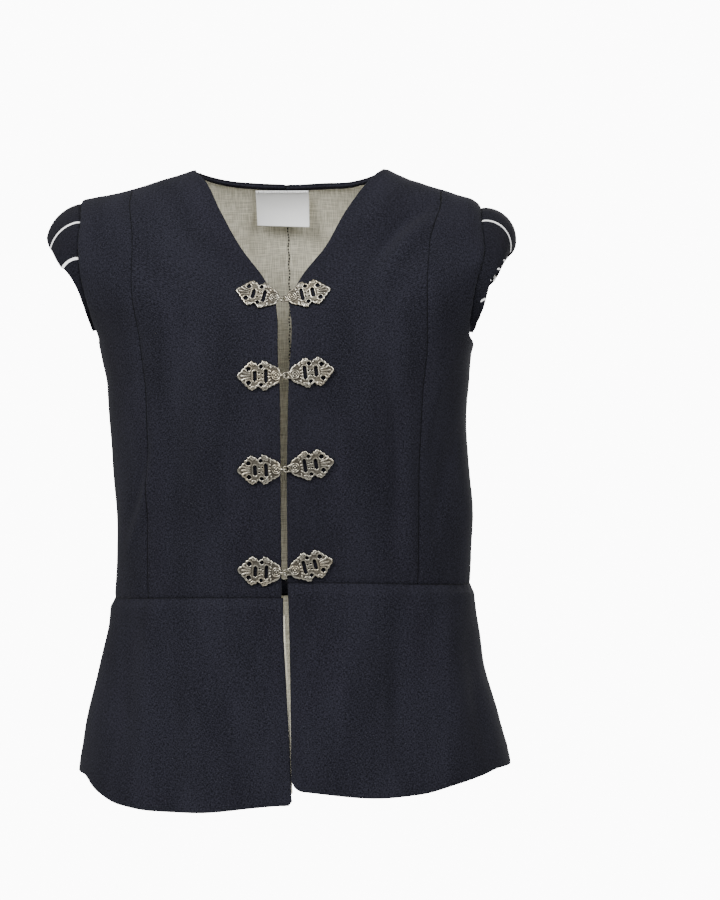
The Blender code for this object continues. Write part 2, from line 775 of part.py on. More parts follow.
def front_surface(side, across, drop):
    """Depth of the front's outer wall at a place on it, as a distance in front of the middle plane."""
    angle = ring_angle(BODICE_RINGS, side, across, drop)
    level = level_of(FRONT, across, np.minimum(drop, CHEST_DROP))
    _, depth_part = drop_at(FRONT, across, angle, level)
    return (ring_depth(BODICE_RINGS, FRONT, angle, drop) - hollow(across, drop)) * depth_part


def clasp_frame(side, clasp):
    """Seat of a clasp half on the front: its own axes run outward along the half, up and off the cloth."""
    tilt = math.radians(clasp.hook_tilt if side == RIGHT else clasp.eye_tilt)
    start = side * clasp.join + (0.0 if side == RIGHT else HOOK_REACH)
    inner = 0.0 if side == RIGHT else -LOOP_HOLE.along
    hanging = hang(side, FRONT, np.array(0.0), np.array(float(clasp.drop)))
    seats = []
    for along in SEAT_ALONG:
        for up in SEAT_UP:
            across = start + (inner + along) * math.cos(tilt) - up * math.sin(tilt)
            drop = clasp.drop - (inner + along) * math.sin(tilt) - up * math.cos(tilt)
            depth = front_surface(side, np.array(across), np.array(drop - hanging))
            seats.append((1.0, across, -drop, float(depth)))
    seats = np.array(seats)
    plane, *_ = np.linalg.lstsq(seats[:, :3], seats[:, 3], rcond=None)
    proud = float(np.max(seats[:, 3] - seats[:, :3] @ plane)) + PLATE_LIFT
    off = Vector((-plane[1] * side, -1.0, -plane[2])).normalized()
    length = Vector((side * math.cos(tilt), 0.0, math.sin(tilt)))
    length = (length - off * length.dot(off)).normalized()
    depth = plane[0] + plane[1] * start - plane[2] * clasp.drop + proud
    place = Vector((side * start, -depth, -clasp.drop)) * MM
    turn = Matrix((length, off.cross(length), off)).transposed().to_4x4()
    return Matrix.Translation(place) @ turn @ Matrix.Translation(Vector((inner, 0.0, 0.0)) * MM)


def rounded(hole):
    """Outline of a slot or hole: round ends joined by straight sides."""
    narrow = 0.5 * hole.wide
    stretch = 0.5 * hole.high - narrow
    outline = []
    sides = FINE_HOLE_SIDES if hole.high < FINE_HOLE else HOLE_SIDES
    for step in range(sides):
        turn = 2 * math.pi * (step + 0.5) / sides
        shift = stretch if math.sin(turn) > 0 else -stretch
        outline.append((hole.along + narrow * math.cos(turn), hole.up + narrow * math.sin(turn) + shift))
    return outline


def plate_outline(with_loop):
    """Outline of a clasp plate, round its top edge from the inner end to the tip and back underneath."""
    along = PLATE_LENGTH * (0.5 - 0.5 * np.cos(np.linspace(PLATE_START, PLATE_END, PLATE_STEPS)))
    half = read(PLATE_OUTLINE, "half", along)
    top = list(zip(along, half))
    if with_loop:
        turns = [math.radians(turn) for turn in LOOP_TURNS]
        end = [(LOOP_HALF * (1 + math.cos(turn)) - LOOP_LENGTH, LOOP_HALF * math.sin(turn)) for turn in turns]
        rest = [point for point in top if point[0] > LOOP_NECK]
        top = end + [(-LOOP_NECK, LOOP_HALF)] + rest
    return top + [(x, -y) for x, y in reversed(top)]


def flat_plate(name, outlines, thickness):
    """A flat metal plate whose first outline is its edge and the others its holes."""
    curve = bpy.data.curves.new(name, "CURVE")
    curve.dimensions = "2D"
    curve.fill_mode = "BOTH"
    curve.extrude = 0.5 * thickness * MM
    for outline in outlines:
        spline = curve.splines.new("POLY")
        spline.points.add(len(outline) - 1)
        for point, (x, y) in zip(spline.points, outline):
            point.co = (x * MM, y * MM, 0.0, 1.0)
        spline.use_cyclic_u = True
    return mesh_from_curve(name, curve)


def mesh_from_curve(name, curve):
    """Turns a curve into a closed mesh."""
    holder = bpy.data.objects.new(name, curve)
    bpy.context.scene.collection.objects.link(holder)
    bpy.context.view_layer.update()
    evaluated = holder.evaluated_get(bpy.context.evaluated_depsgraph_get())
    mesh = bpy.data.meshes.new_from_object(evaluated)
    bpy.data.objects.remove(holder)
    shape = bmesh.new()
    shape.from_mesh(mesh)
    bmesh.ops.remove_doubles(shape, verts=shape.verts, dist=WELD * MM)
    bmesh.ops.recalc_face_normals(shape, faces=shape.faces)
    shape.to_mesh(mesh)
    shape.free()
    return mesh


def hook_mesh(name):
    """The hook: a wire from inside the boss, over the eye's end and down through the eye."""
    curve = bpy.data.curves.new(name, "CURVE")
    curve.dimensions = "3D"
    curve.bevel_depth = HOOK_WIRE * MM
    curve.bevel_resolution = 2
    curve.use_fill_caps = True
    spline = curve.splines.new("POLY")
    spline.points.add(len(HOOK_BENDS) - 1)
    for point, bend in zip(spline.points, HOOK_BENDS):
        point.co = (bend.along * MM, 0.0, bend.off * MM, 1.0)
    return mesh_from_curve(name, curve)


def boss_mesh(name):
    boss = bmesh.new()
    middle = Matrix.Translation(Vector((BOSS_PLACE, 0.0, 0.5 * (BOSS_FOOT + BOSS_HEIGHT))) * MM)
    bmesh.ops.create_cone(boss, cap_ends=True, segments=BOSS_SIDES, radius1=BOSS_RADIUS * MM,
                          radius2=BOSS_TOP_RADIUS * MM, depth=(BOSS_HEIGHT - BOSS_FOOT) * MM, matrix=middle)
    mesh = bpy.data.meshes.new(name)
    boss.to_mesh(mesh)
    boss.free()
    return mesh


def joined_part(base, mesh, name, frame, cutters):
    """Joins a shape onto a metal piece."""
    helper = bpy.data.objects.new(name, mesh)
    helper.matrix_world = frame
    helper.hide_render = True
    helper.display_type = "WIRE"
    cutters.objects.link(helper)
    join = base.modifiers.new("Join", "BOOLEAN")
    join.operation = "UNION"
    join.object = helper


def clasp_half(side, number, clasp, look, collection, cutters):
    kind = "hook" if side == RIGHT else "eye"
    name = f"clasp_{number}_{kind}"
    frame = clasp_frame(side, clasp)
    outlines = [plate_outline(side == LEFT)] + [rounded(hole) for hole in PLATE_HOLES]
    if side == LEFT:
        outlines.append(rounded(LOOP_HOLE))
    mesh = flat_plate(name, outlines, PLATE_THICKNESS)
    mesh.transform(Matrix.Translation((0.0, 0.0, 0.5 * PLATE_THICKNESS * MM)))
    piece = bpy.data.objects.new(name, mesh)
    piece.matrix_world = frame
    piece.data.materials.append(look)
    collection.objects.link(piece)
    joined_part(piece, boss_mesh(name + "_boss"), name + "_boss", frame, cutters)
    if side == RIGHT:
        level = frame @ Matrix.Rotation(math.radians(clasp.hook_tilt), 4, "Z")
        joined_part(piece, hook_mesh(name + "_wire"), name + "_wire", level, cutters)
    return piece


def build():
    clear_scene()
    doublet = new_collection("doublet")
    cutters = new_collection("cutters")
    navy = material("navy_cloth", NAVY, 0.95)
    striped = material("wing_cloth", WING_NAVY, 0.9)
    linen = material("linen_lining", LINEN, 0.9)
    tape = material("label_tape", WHITE, 0.6)
    silver = material("aged_silver", SILVER, 0.35, 1.0)
    for side in (RIGHT, LEFT):
        front_centre(side, navy, doublet)
        front_side(side, navy, doublet)
        back_piece(side, navy, doublet)
        back_lining(side, linen, doublet)
        skirt_front(side, navy, doublet)
        wing(side, striped, doublet)
    skirt_back(navy, doublet)
    skirt_lining("lining_skirt_back", skirt_back_points(), linen, doublet)
    skirt_lining("lining_skirt_right", skirt_front_points(RIGHT), linen, doublet)
    neck_binding(navy, doublet)
    label(tape, doublet)
    for number, clasp in enumerate(CLASPS, start=1):
        for side in (RIGHT, LEFT):
            clasp_half(side, number, clasp, silver, doublet, cutters)


build()
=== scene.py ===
"""The looks of a sleeveless doublet: wool, linen lining, striped shoulder wings, clasps, label and sewing.

The front faces -Y, +Z is up, and right and left are the wearer's, so right is -X. Tables give millimetres,
and "drop" is the distance below the shoulder line. Each cloth piece is a fine grid of points on one hollow
form, which is a stack of rings from hem to shoulder line.
"""
import math
from collections import namedtuple

import bpy
import numpy as np
from mathutils import Matrix, Vector


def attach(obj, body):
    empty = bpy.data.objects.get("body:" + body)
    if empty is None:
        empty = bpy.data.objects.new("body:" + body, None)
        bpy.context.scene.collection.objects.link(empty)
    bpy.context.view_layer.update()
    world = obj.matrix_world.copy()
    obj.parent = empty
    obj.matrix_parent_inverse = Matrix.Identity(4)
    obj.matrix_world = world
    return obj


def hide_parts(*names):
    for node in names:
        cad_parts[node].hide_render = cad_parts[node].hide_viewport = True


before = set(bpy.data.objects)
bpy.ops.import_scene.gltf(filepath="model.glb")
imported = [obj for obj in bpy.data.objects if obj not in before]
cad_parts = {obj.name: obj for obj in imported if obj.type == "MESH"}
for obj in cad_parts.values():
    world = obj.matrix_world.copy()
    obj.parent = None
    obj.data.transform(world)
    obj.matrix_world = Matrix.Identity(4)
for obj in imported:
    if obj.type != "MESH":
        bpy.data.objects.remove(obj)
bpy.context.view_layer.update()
bpy.ops.object.select_all(action="DESELECT")

MM = 0.001
# Keeps a division by zero out
TINY = 1e-12
RIGHT, LEFT = -1, 1
SIDES = {RIGHT: "right", LEFT: "left"}
FRONT, BACK = "front", "back"
TOWARD = {FRONT: -1, BACK: 1}

# Thickness of each cloth. Pieces that are sewn together press into each other by a little
CLOTH = 2.0
WING_CLOTH = 2.2
LINING = 1.0
LINING_GAP = 0.5
TRIM = 1.0
SEAM = -0.08
WAIST_SEAM = -0.08
SIDE_SEAM = 0.02

# How square a ring is, and how round the wall turns over the shoulder line
RING_POWER = 2.4
RIDGE_POWER = 1.8
# Length of that turn along the cloth, as a share of its height
TURN_LENGTH = 1.2

# Drop at which the bodice starts to curve in toward the shoulder line
CHEST_DROP = 205.0
# The front's shoulder seam and the back's, as levels: 2 is the top of the shoulder line
FRONT_TOP = 1.93
BACK_TOP = 2.07
SHOULDER_SEAM = 0.0
# Above this level the edge at the side is the armhole's, even behind the shoulder line
SHOULDER_LEVEL = 1.9

# Waist seam: drop at centre front and back, and how much lower it runs at the sides
WAIST_DROP = 401.0
WAIST_SIDE_FALL = 5.0
# The wearer's right side hangs lower and the left side higher by this much, from the chest down
HANG = 7.0
HANG_START = 100.0
HANG_FULL = 400.0
# The cloth caves in at the foot of the V neck
HOLLOW_DEPTH = 12.0
HOLLOW_WIDTH = 55.0
HOLLOW_FOOT = 172.0
HOLLOW_HEAD = 98.0


def table(kind, *rows):
    """A list of rows of one kind, whose values have names."""
    return [kind(*row) for row in rows]


Ring = namedtuple("Ring", "drop right left front back")
BODICE_RINGS = table(
    Ring,
    (0, 227, 212, 100, 108), (60, 227, 212, 106, 114), (95, 224, 210, 112, 117), (114, 217, 203, 115, 118),
    (133, 207, 194, 117, 119), (150, 194, 185, 118, 119), (168, 184.5, 179, 118.5, 119),
    (183, 181, 175.5, 119, 118), (205, 176, 173.5, 119, 116), (250, 173.5, 171, 117, 108),
    (300, 170, 173.5, 111, 99), (348, 167, 176.5, 106, 94), (405, 170, 175, 102, 93),
)
SKIRT_RINGS = table(
    Ring,
    (396, 170, 175, 102, 93), (428, 172.5, 178.5, 105, 97), (455, 178, 181.5, 109, 102),
    (481, 184, 184.5, 113.5, 107.5), (507, 190.5, 191.5, 118.5, 113), (534, 196.5, 200, 124, 119),
    (560, 201, 208, 129, 125), (600, 205, 215, 135, 132),
)

# The shoulder line: distance from the middle, height, and how far down the wall turns in to it
Ridge = namedtuple("Ridge", "across height front_fall back_fall")
RIDGE = table(
    Ridge,
    (0, 12, 217, 137), (50, 8, 213, 133), (80, 3, 205, 128), (94, 0, 195, 125), (117, -7.3, 170, 112),
    (140, -15.5, 135, 95), (163, -21.5, 100, 78), (185, -27, 70, 62), (205, -32, 55, 55),
)

# How much lower than the shoulder line the shoulder's outer end lies on each side, fading out below it
ShoulderEnd = namedtuple("ShoulderEnd", "across right left")
SHOULDER_END = table(
    ShoulderEnd,
    (86, 0, 0), (93, 0, 1), (105, 0, 3.7), (116, 0, 4.6), (128, 0, 3.3), (140, 0, 3), (151, 0, 3.1),
    (163, 0, 3.9), (175, -0.5, 4.4), (181, -1, 6.5), (187, -1.8, 10), (205, -3, 12),
)
DROOP_START = 38.0
DROOP_END = 115.0

# Edges and seams: distance from the middle toward each side
Edge = namedtuple("Edge", "drop right left")
FRONT_EDGE = table(
    Edge,
    (0, 94, 91.5), (15, 79, 76.5), (45, 63.5, 56.5), (81, 43, 37.5), (113, 18.5, 13.5), (134, 8, 5),
    (161, 5.3, 7.5), (191, 5, 6), (210, 3.4, 5), (240, 2.9, 4), (320, 2.7, 2.8), (405, 2.5, 3),
)
LONG_SEAM = table(
    Edge,
    (35, 153, 147), (75, 146.5, 136), (125, 144, 133.6), (166, 137, 133.5), (222, 131.7, 128.7),
    (300, 130.7, 125.4), (405, 130.7, 124),
)
ARMHOLE_EDGE = table(
    Edge,
    (33, 203, 185.5), (57, 199.5, 186.7), (76, 199.8, 187.6), (95, 198, 184.7), (114, 195.3, 180),
    (133, 191, 176.5), (151, 186.7, 174), (163, 182.5, 174), (169, 184, 178.5),
)
UNDERARM_DROP = 169.0
UNDERARM_MARGIN = 0.5
# The centre back seam lies a little to the wearer's right of the middle
BACK_SEAM = table(
    Edge,
    (0, 6.5, -6.5), (405, 6.5, -6.5),
)
SKIRT_EDGE = table(
    Edge,
    (401, 1.0, 3.3), (432, 0.4, 4.3), (463, -1.4, 5.4), (515, -4.7, 6.7), (566, -7.6, 7.8),
    (600, -9.6, 9.2),
)
# Back neck edge: its height at each distance from the middle
Neck = namedtuple("Neck", "across height")
BACK_NECK = table(
    Neck,
    (0, -9), (50, -7), (72, -4.7), (83, -2.6), (91, -0.5),
)
SIDE_NECK = 93.0
# Drop of the hem, by the angle round from centre front (0) to centre back (180)
Hem = namedtuple("Hem", "angle right left")
HEM = table(
    Hem,
    (0, 589, 589), (20, 597, 596.5), (32, 597, 594), (45, 593.5, 586.5), (57, 584, 581), (70, 572, 577),
    (90, 573, 579), (120, 581, 583), (150, 587, 587), (180, 588, 588),
)
# How far the hem rounds up into the front edge
CORNER = {RIGHT: 4.5, LEFT: 11.0}
# The skirt leaves the waist seam straight, then springs out
SKIRT_COLLAR = 3.0
SKIRT_SPRING = 2.5
SKIRT_SPRING_LENGTH = 7.0

# Wing: its width on each side by the distance down the armhole, and how it bends down from its seam to its
# edge, in degrees. Where it is narrow it bends less.
WingWidth = namedtuple("WingWidth", "drop right left")
WING_WIDTH = table(
    WingWidth,
    (30, 50, 61), (40, 47, 58), (50, 43, 49.5), (58, 38, 43), (74, 28.5, 32), (84, 22, 25.5),
    (92, 15.5, 20.3), (105, 8.5, 13), (118, 4.8, 12.5), (132, 3.6, 11), (145, 3, 7.5), (158, 2.6, 3.8),
)
WING_BEND = {RIGHT: (10.0, 78.0), LEFT: (-3.0, 105.0)}
WING_FULL_BEND = 24.0
# The wing is sewn in this much below the armhole's edge at the shoulder. That fades out between two drops.
WING_DIP = {RIGHT: 4.0, LEFT: 1.5}
WING_DIP_START = 75.0
WING_DIP_END = 125.0
WING_ROOT = 2.0
WING_ROOT_SHARE = 0.4
WING_END_LEVEL = 1.26

# A grid's rows and angles depend on each other, so they are worked out this many times, from a first angle
ROUNDS = 12
FIRST_ANGLE = 45.0

# The dark band inside the back neck edge
BINDING_TOP = 0.3
BINDING_DEPTH = 4.6
BINDING_ROWS = 5
NECK_ROWS = 4
# How the band turns over the edge to the wool, by the distance out and up
BINDING_TURN = ((0.5, 0.3), (1.2, 0.45), (2.0, 0.3), (2.6, -0.1))
# The linings end this far inside the waist seam, the neck edge and the hem
LINING_WAIST_TRIM = 0.1
LINING_NECK_TRIM = 2.4
MOST_TRIM = 0.9
# The skirts' linings start this many rows of their grid below the waist seam, and the right one's edge shows
SKIRT_LINING_START = 9
LINING_SHOWS = 1.4
LABEL_CENTRE = -10.5
LABEL_WIDTH = 53.5
LABEL_HEIGHT = 29.8
LABEL_DROP = 10.4
LABEL_INSET = 4.6

# Clasps: drop and place of the join, and how far each half's outer end tilts up, in degrees
Clasp = namedtuple("Clasp", "drop join hook_tilt eye_tilt")
CLASPS = table(
    Clasp,
    (131, -5.0, 14, 14), (202, -1.8, -1, 7), (288, -2.0, -2.5, 9), (384, -2.4, 3, 15),
)
PLATE_THICKNESS = 1.8
PLATE_LIFT = 0.45
# Where a clasp's seat is measured on the cloth, along the half and up it
SEAT_ALONG = (1.0, 10.0, 20.0, 30.0, 41.0)
SEAT_UP = (-14.0, -7.0, 0.0, 7.0, 14.0)
# Half height of a clasp plate along its length, from its inner end to its tip
Plate = namedtuple("Plate", "along half")
PLATE_OUTLINE = table(
    Plate,
    (0, 0.8), (0.7, 4.0), (3.4, 7.4), (9.5, 10.4), (16.2, 14.0), (18.6, 12.2), (21.0, 10.0), (24.0, 12.2),
    (27.5, 13.5), (31.0, 11.2), (37.2, 4.8), (40.4, 1.6), (41.0, 0.6),
)
PLATE_LENGTH = 41.0
PLATE_START = 0.12
PLATE_END = math.pi - 0.05
# Slots and holes through a plate: middle, width and height; a round one is as wide as it is high
Hole = namedtuple("Hole", "along up wide high")
PLATE_HOLES = table(
    Hole,
    (24.3, 0.4, 3.2, 9.8), (14.0, 0.4, 3.2, 12.6), (18.6, 8.4, 3.5, 3.5), (18.6, -8.4, 3.5, 3.5),
    (30.2, 6.4, 4.1, 4.1), (30.2, -6.4, 4.1, 4.1), (20.4, 2.4, 1.7, 1.7), (20.4, -2.4, 1.7, 1.7),
    (17.3, 1.9, 1.4, 1.4), (17.3, -1.9, 1.4, 1.4),
)
BOSS_PLACE = 4.6
BOSS_RADIUS = 4.3
BOSS_HEIGHT = 3.0
# Its low step: the place of its middle and its height, as shares of the boss's height
STEP_PLACE = 0.15
STEP_HEIGHT = 0.5
# Its rings, and the button in them: radius as a share of the boss's, half width, and share of its height
BOSS_RINGS = ((0.94, 0.55, 0.35), (0.52, 0.5, 0.6), (0.08, 0.6, 0.6))
# The eye's loop stands out past the plate's inner end
LOOP_LENGTH = 7.0
LOOP_HALF = 3.3
LOOP_NECK = 0.6
LOOP_RIM = 0.7
LOOP_WIRE = 0.45
LOOP_HOLE = Hole(-3.4, 0, 4.0, 3.8)
# The hook's wire: its bends, by the distance along the half and off the cloth
HOOK_WIRE = 0.8
WIRE_BRIGHTNESS = 0.9
HOOK_REACH = 4.6
Bend = namedtuple("Bend", "along off")
HOOK_BENDS = table(
    Bend,
    (2.4, 1.7), (0.6, 2.8), (-0.8, 3.3), (-2.7, 3.3), (-4.0, 2.8), (-4.6, 1.6), (-4.6, -0.6),
)


def read(rows, column, key):
    """Reads a column of a table at any key, on a smooth curve through its rows that never overshoots. The
    column is given by its name, or by a side for that side's own."""
    keys = np.array([row[0] for row in rows], float)
    values = np.array([getattr(row, SIDES.get(column, column)) for row in rows], float)
    steps = np.diff(keys)
    slopes = np.diff(values) / steps
    before, after = slopes[:-1], slopes[1:]
    level = before * after <= 0
    bends = np.where(level, 0.0, 2 * before * after / np.where(level, 1.0, before + after))
    tangents = np.concatenate([slopes[:1], bends, slopes[-1:]])
    key = np.clip(key, keys[0], keys[-1])
    row = np.clip(np.searchsorted(keys, key) - 1, 0, len(steps) - 1)
    part = (key - keys[row]) / steps[row]
    start = values[row] * (1 + 2 * part) + tangents[row] * steps[row] * part
    end = values[row + 1] * (3 - 2 * part) + tangents[row + 1] * steps[row] * (part - 1)
    return start * (1 - part) ** 2 + end * part ** 2


def ease(value, start, end):
    """Goes smoothly from 0 at the start to 1 at the end."""
    part = np.clip((value - start) / (end - start), 0.0, 1.0)
    return part * part * (3 - 2 * part)


def ring_across(rings, side, angle, drop):
    """Distance from the middle at an angle round a ring, where 0 faces the front or back and 90 the side."""
    turn = np.sin(np.radians(angle))
    return read(rings, side, drop) * np.sign(turn) * np.abs(turn) ** (2 / RING_POWER)


def ring_angle(rings, side, across, drop):
    """Angle round a ring that lies at a distance from the middle."""
    part = np.clip(across / read(rings, side, drop), -1.0, 1.0)
    return np.degrees(np.arcsin(np.sign(part) * np.abs(part) ** (RING_POWER / 2)))


def ring_depth(rings, face, angle, drop):
    """Distance of the wall in front of the middle plane, or behind it."""
    return read(rings, face, drop) * np.abs(np.cos(np.radians(angle))) ** (2 / RING_POWER)


def waist_drop(angle):
    return WAIST_DROP + WAIST_SIDE_FALL * np.sin(np.radians(angle)) ** 2


def fall_part(face, across):
    """Share of the way from the chest level to the shoulder line that is straight, and the turn's size."""
    fall = read(RIDGE, face + "_fall", np.abs(across))
    straight = np.maximum(CHEST_DROP + read(RIDGE, "height", np.abs(across)) - fall, 0.0)
    return straight / (straight + TURN_LENGTH * fall), straight, fall


def drop_at(face, across, angle, level):
    """Drop of a level: 0 is the waist seam, 1 the chest and 2 the shoulder line. Also gives the turn-in."""
    share, straight, fall = fall_part(face, across)
    waist = waist_drop(angle)
    low = waist + (CHEST_DROP - waist) * level
    climb = np.clip(level - 1, 0.0, 1.0)
    turn = np.radians(90) * np.clip((climb - share) / (1 - share), 0.0, 1.0)
    rise = np.where(climb < share, straight * climb / np.maximum(share, TINY), straight)
    high = CHEST_DROP - rise - fall * np.sin(turn) ** (2 / RIDGE_POWER)
    depth_part = np.where(level > 1, np.cos(turn) ** (2 / RIDGE_POWER), 1.0)
    return np.where(level > 1, high, low), depth_part


def hang(side, face, angle, drop):
    """How much lower the cloth hangs on the wearer's right, and higher on the left."""
    share = 1.0 if face == FRONT else np.abs(np.sin(np.radians(angle)))
    return -side * HANG * share * ease(drop, HANG_START, HANG_FULL)


def droop(side, across, drop):
    """How much lower the outer end of the shoulder lies than the shoulder line."""
    return read(SHOULDER_END, side, across) * (1 - ease(drop, DROOP_START, DROOP_END))


def hollow(across, drop):
    """How far the front caves in round the foot of the V neck."""
    return HOLLOW_DEPTH * np.exp(-(across / HOLLOW_WIDTH) ** 2) * ease(-drop, -HOLLOW_FOOT, -HOLLOW_HEAD)


def bodice_point(side, face, angle, level):
    """A point of the bodice's inner wall. A back level over 2 has crossed the shoulder line to the front."""
    angle, level = np.broadcast_arrays(np.asarray(angle, float), np.asarray(level, float))
    if face == BACK and np.any(level > 2):
        behind = bodice_point(side, BACK, angle, np.minimum(level, 2.0))
        before = bodice_point(side, FRONT, angle, np.minimum(4 - level, 2.0))
        return np.where((level > 2)[..., None], before, behind)
    drop = np.full(angle.shape, CHEST_DROP)
    for _ in range(ROUNDS):
        across = ring_across(BODICE_RINGS, side, angle, drop)
        drop, depth_part = drop_at(face, across, angle, level)
    depth = ring_depth(BODICE_RINGS, face, angle, drop) * depth_part
    depth = depth * (1 - CLOTH / read(BODICE_RINGS, face, drop))
    if face == FRONT:
        depth = depth - hollow(across, drop) * depth_part
    height = -drop - hang(side, face, angle, drop) - droop(side, across, drop)
    across = across * (1 - CLOTH / read(BODICE_RINGS, side, drop))
    return MM * np.stack([side * across, TOWARD[face] * depth, height], axis=-1)


def skirt_point(side, face, angle, drop):
    """A point of the skirt's inner wall."""
    angle, drop = np.broadcast_arrays(np.asarray(angle, float), np.asarray(drop, float))
    below = drop - waist_drop(angle)
    spring = SKIRT_SPRING * ease(below, SKIRT_COLLAR, SKIRT_COLLAR + SKIRT_SPRING_LENGTH) - CLOTH
    flared = np.where(below < SKIRT_COLLAR, waist_drop(angle), drop)
    across = ring_across(SKIRT_RINGS, side, angle, flared)
    across = across * (1 + spring / read(SKIRT_RINGS, side, flared))
    depth = ring_depth(SKIRT_RINGS, face, angle, flared)
    depth = depth * (1 + spring / read(SKIRT_RINGS, face, flared))
    height = -drop - hang(side, face, angle, drop)
    return MM * np.stack([side * across, TOWARD[face] * depth, height], axis=-1)


def grid_normals(points):
    """Directions that point out of the wall at each point of a grid."""
    along = np.gradient(points, axis=1)
    up = np.gradient(points, axis=0)
    normals = np.cross(along, up)
    normals /= np.linalg.norm(normals, axis=-1, keepdims=True)
    outward = np.sum(normals[..., :2] * points[..., :2])
    return normals * np.sign(outward)


def moved_in(points, distance):
    """Points of a wall moved into the hollow by a distance."""
    return points - MM * distance * grid_normals(points)


def draw_in(edge, inner, length):
    """Moves each point of a grid's edge toward the next one in, by a length."""
    along = inner - edge
    full = np.linalg.norm(along, axis=-1, keepdims=True)
    edge += along * np.minimum(length * MM / full, MOST_TRIM)


def trimmed(points, first, last):
    """Shortens a grid of points at its first and last rows, by a length measured on each column."""
    points = points.copy()
    draw_in(points[0], points[1], first)
    draw_in(points[-1], points[-2], last)
    return points


def edge_angles(table, side, face, levels, shift):
    """Angle of an edge at each level, moved by the shift along the wall, in millimetres."""
    drop = np.full(len(levels), CHEST_DROP)
    angle = np.full(len(levels), FIRST_ANGLE)
    for _ in range(ROUNDS):
        across = read(table, side, drop) + shift
        angle = ring_angle(BODICE_RINGS, side, across, drop)
        drop, _ = drop_at(face, across, angle, np.minimum(levels, 4 - levels))
    return angle


def side_angle(face, drop):
    """Angle just short of the side seam, by half a seam's gap."""
    depth = read(BODICE_RINGS, face, drop)
    return np.degrees(np.arccos((SIDE_SEAM / 2 / depth) ** (RING_POWER / 2)))


def outer_angles(side, face, levels):
    """Angles of the side seam and, above the underarm, of the armhole's edge."""
    angles = edge_angles(ARMHOLE_EDGE, side, face, levels, 0.0)
    across = ring_across(BODICE_RINGS, side, angles, UNDERARM_DROP)
    drop, _ = drop_at(face, across, angles, levels)
    seam = side_angle(face, drop)
    under = (drop > UNDERARM_DROP - UNDERARM_MARGIN) & (levels < SHOULDER_LEVEL)
    return np.where(under, seam, np.minimum(angles, seam))


def level_of(face, across, drop):
    """Level of a point on the bodice, from its distance from the middle and its drop."""
    share, straight, fall = fall_part(face, across)
    risen = CHEST_DROP - drop
    turn = np.arcsin(np.clip((risen - straight) / fall, 0.0, 1.0) ** (RIDGE_POWER / 2))
    high = share + (1 - share) * turn / np.radians(90)
    return 1 + np.where(risen < straight, share * risen / np.maximum(straight, TINY), high)


def back_tops(side, angles):
    """Level of the back's top edge: the neck edge near the middle, the shoulder seam farther out."""
    across = np.abs(ring_across(BODICE_RINGS, side, angles, 0.0))
    neck = level_of(BACK, across, -read(BACK_NECK, "height", across))
    last = BACK_NECK[-1]
    toward_seam = ease(across, last.across, SIDE_NECK)
    return neck + (BACK_TOP - SHOULDER_SEAM - neck) * toward_seam


def columns_between(edges, counts):
    """Angles across a piece at each level, evenly spread between the named edges."""
    spans = []
    for start, end, count in zip(edges[:-1], edges[1:], counts):
        parts = np.linspace(0, 1, count + 1)[(1 if spans else 0):]
        spans.append(start[:, None] + (end - start)[:, None] * parts[None, :])
    return np.concatenate(spans, axis=1)


def front_surface(side, across, drop):
    """Depth of the front's outer wall at a place on it, as a distance in front of the middle plane."""
    angle = ring_angle(BODICE_RINGS, side, across, drop)
    level = level_of(FRONT, across, np.minimum(drop, CHEST_DROP))
    _, depth_part = drop_at(FRONT, across, angle, level)
    return (ring_depth(BODICE_RINGS, FRONT, angle, drop) - hollow(across, drop)) * depth_part


def clasp_frame(side, clasp):
    """Seat of a clasp half on the front: its own axes run outward along the half, up and off the cloth."""
    tilt = math.radians(clasp.hook_tilt if side == RIGHT else clasp.eye_tilt)
    start = side * clasp.join + (0.0 if side == RIGHT else HOOK_REACH)
    inner = 0.0 if side == RIGHT else -LOOP_HOLE.along
    hanging = hang(side, FRONT, np.array(0.0), np.array(float(clasp.drop)))
    seats = []
    for along in SEAT_ALONG:
        for up in SEAT_UP:
            across = start + (inner + along) * math.cos(tilt) - up * math.sin(tilt)
            drop = clasp.drop - (inner + along) * math.sin(tilt) - up * math.cos(tilt)
            depth = front_surface(side, np.array(across), np.array(drop - hanging))
            seats.append((1.0, across, -drop, float(depth)))
    seats = np.array(seats)
    plane, *_ = np.linalg.lstsq(seats[:, :3], seats[:, 3], rcond=None)
    proud = float(np.max(seats[:, 3] - seats[:, :3] @ plane)) + PLATE_LIFT
    off = Vector((-plane[1] * side, -1.0, -plane[2])).normalized()
    length = Vector((side * math.cos(tilt), 0.0, math.sin(tilt)))
    length = (length - off * length.dot(off)).normalized()
    depth = plane[0] + plane[1] * start - plane[2] * clasp.drop + proud
    place = Vector((side * start, -depth, -clasp.drop)) * MM
    turn = Matrix((length, off.cross(length), off)).transposed().to_4x4()
    return Matrix.Translation(place) @ turn @ Matrix.Translation(Vector((inner, 0.0, 0.0)) * MM)


# Fine grids of the cloth: rows from waist to shoulder, and columns of each piece
BODICE_ROWS = 170
FRONT_FINE = 58
SIDE_FINE = 46
BACK_FINE = (36, 8, 58)
NECK_TURN = 79.0
NECK_BEND = 3
SKIRT_HEAD_ROWS = 7
SKIRT_FINE_ROWS = 84
SKIRT_FINE_COLUMNS = 96
LINING_ROWS = 110
LINING_COLUMNS = (22, 6, 36)
WING_FINE = 44
WING_ROWS = 150
# The wing's root lies this far inside the armhole's edge, where it is sewn in
WING_TUCK = 0.5
EDGE_STEPS = 3

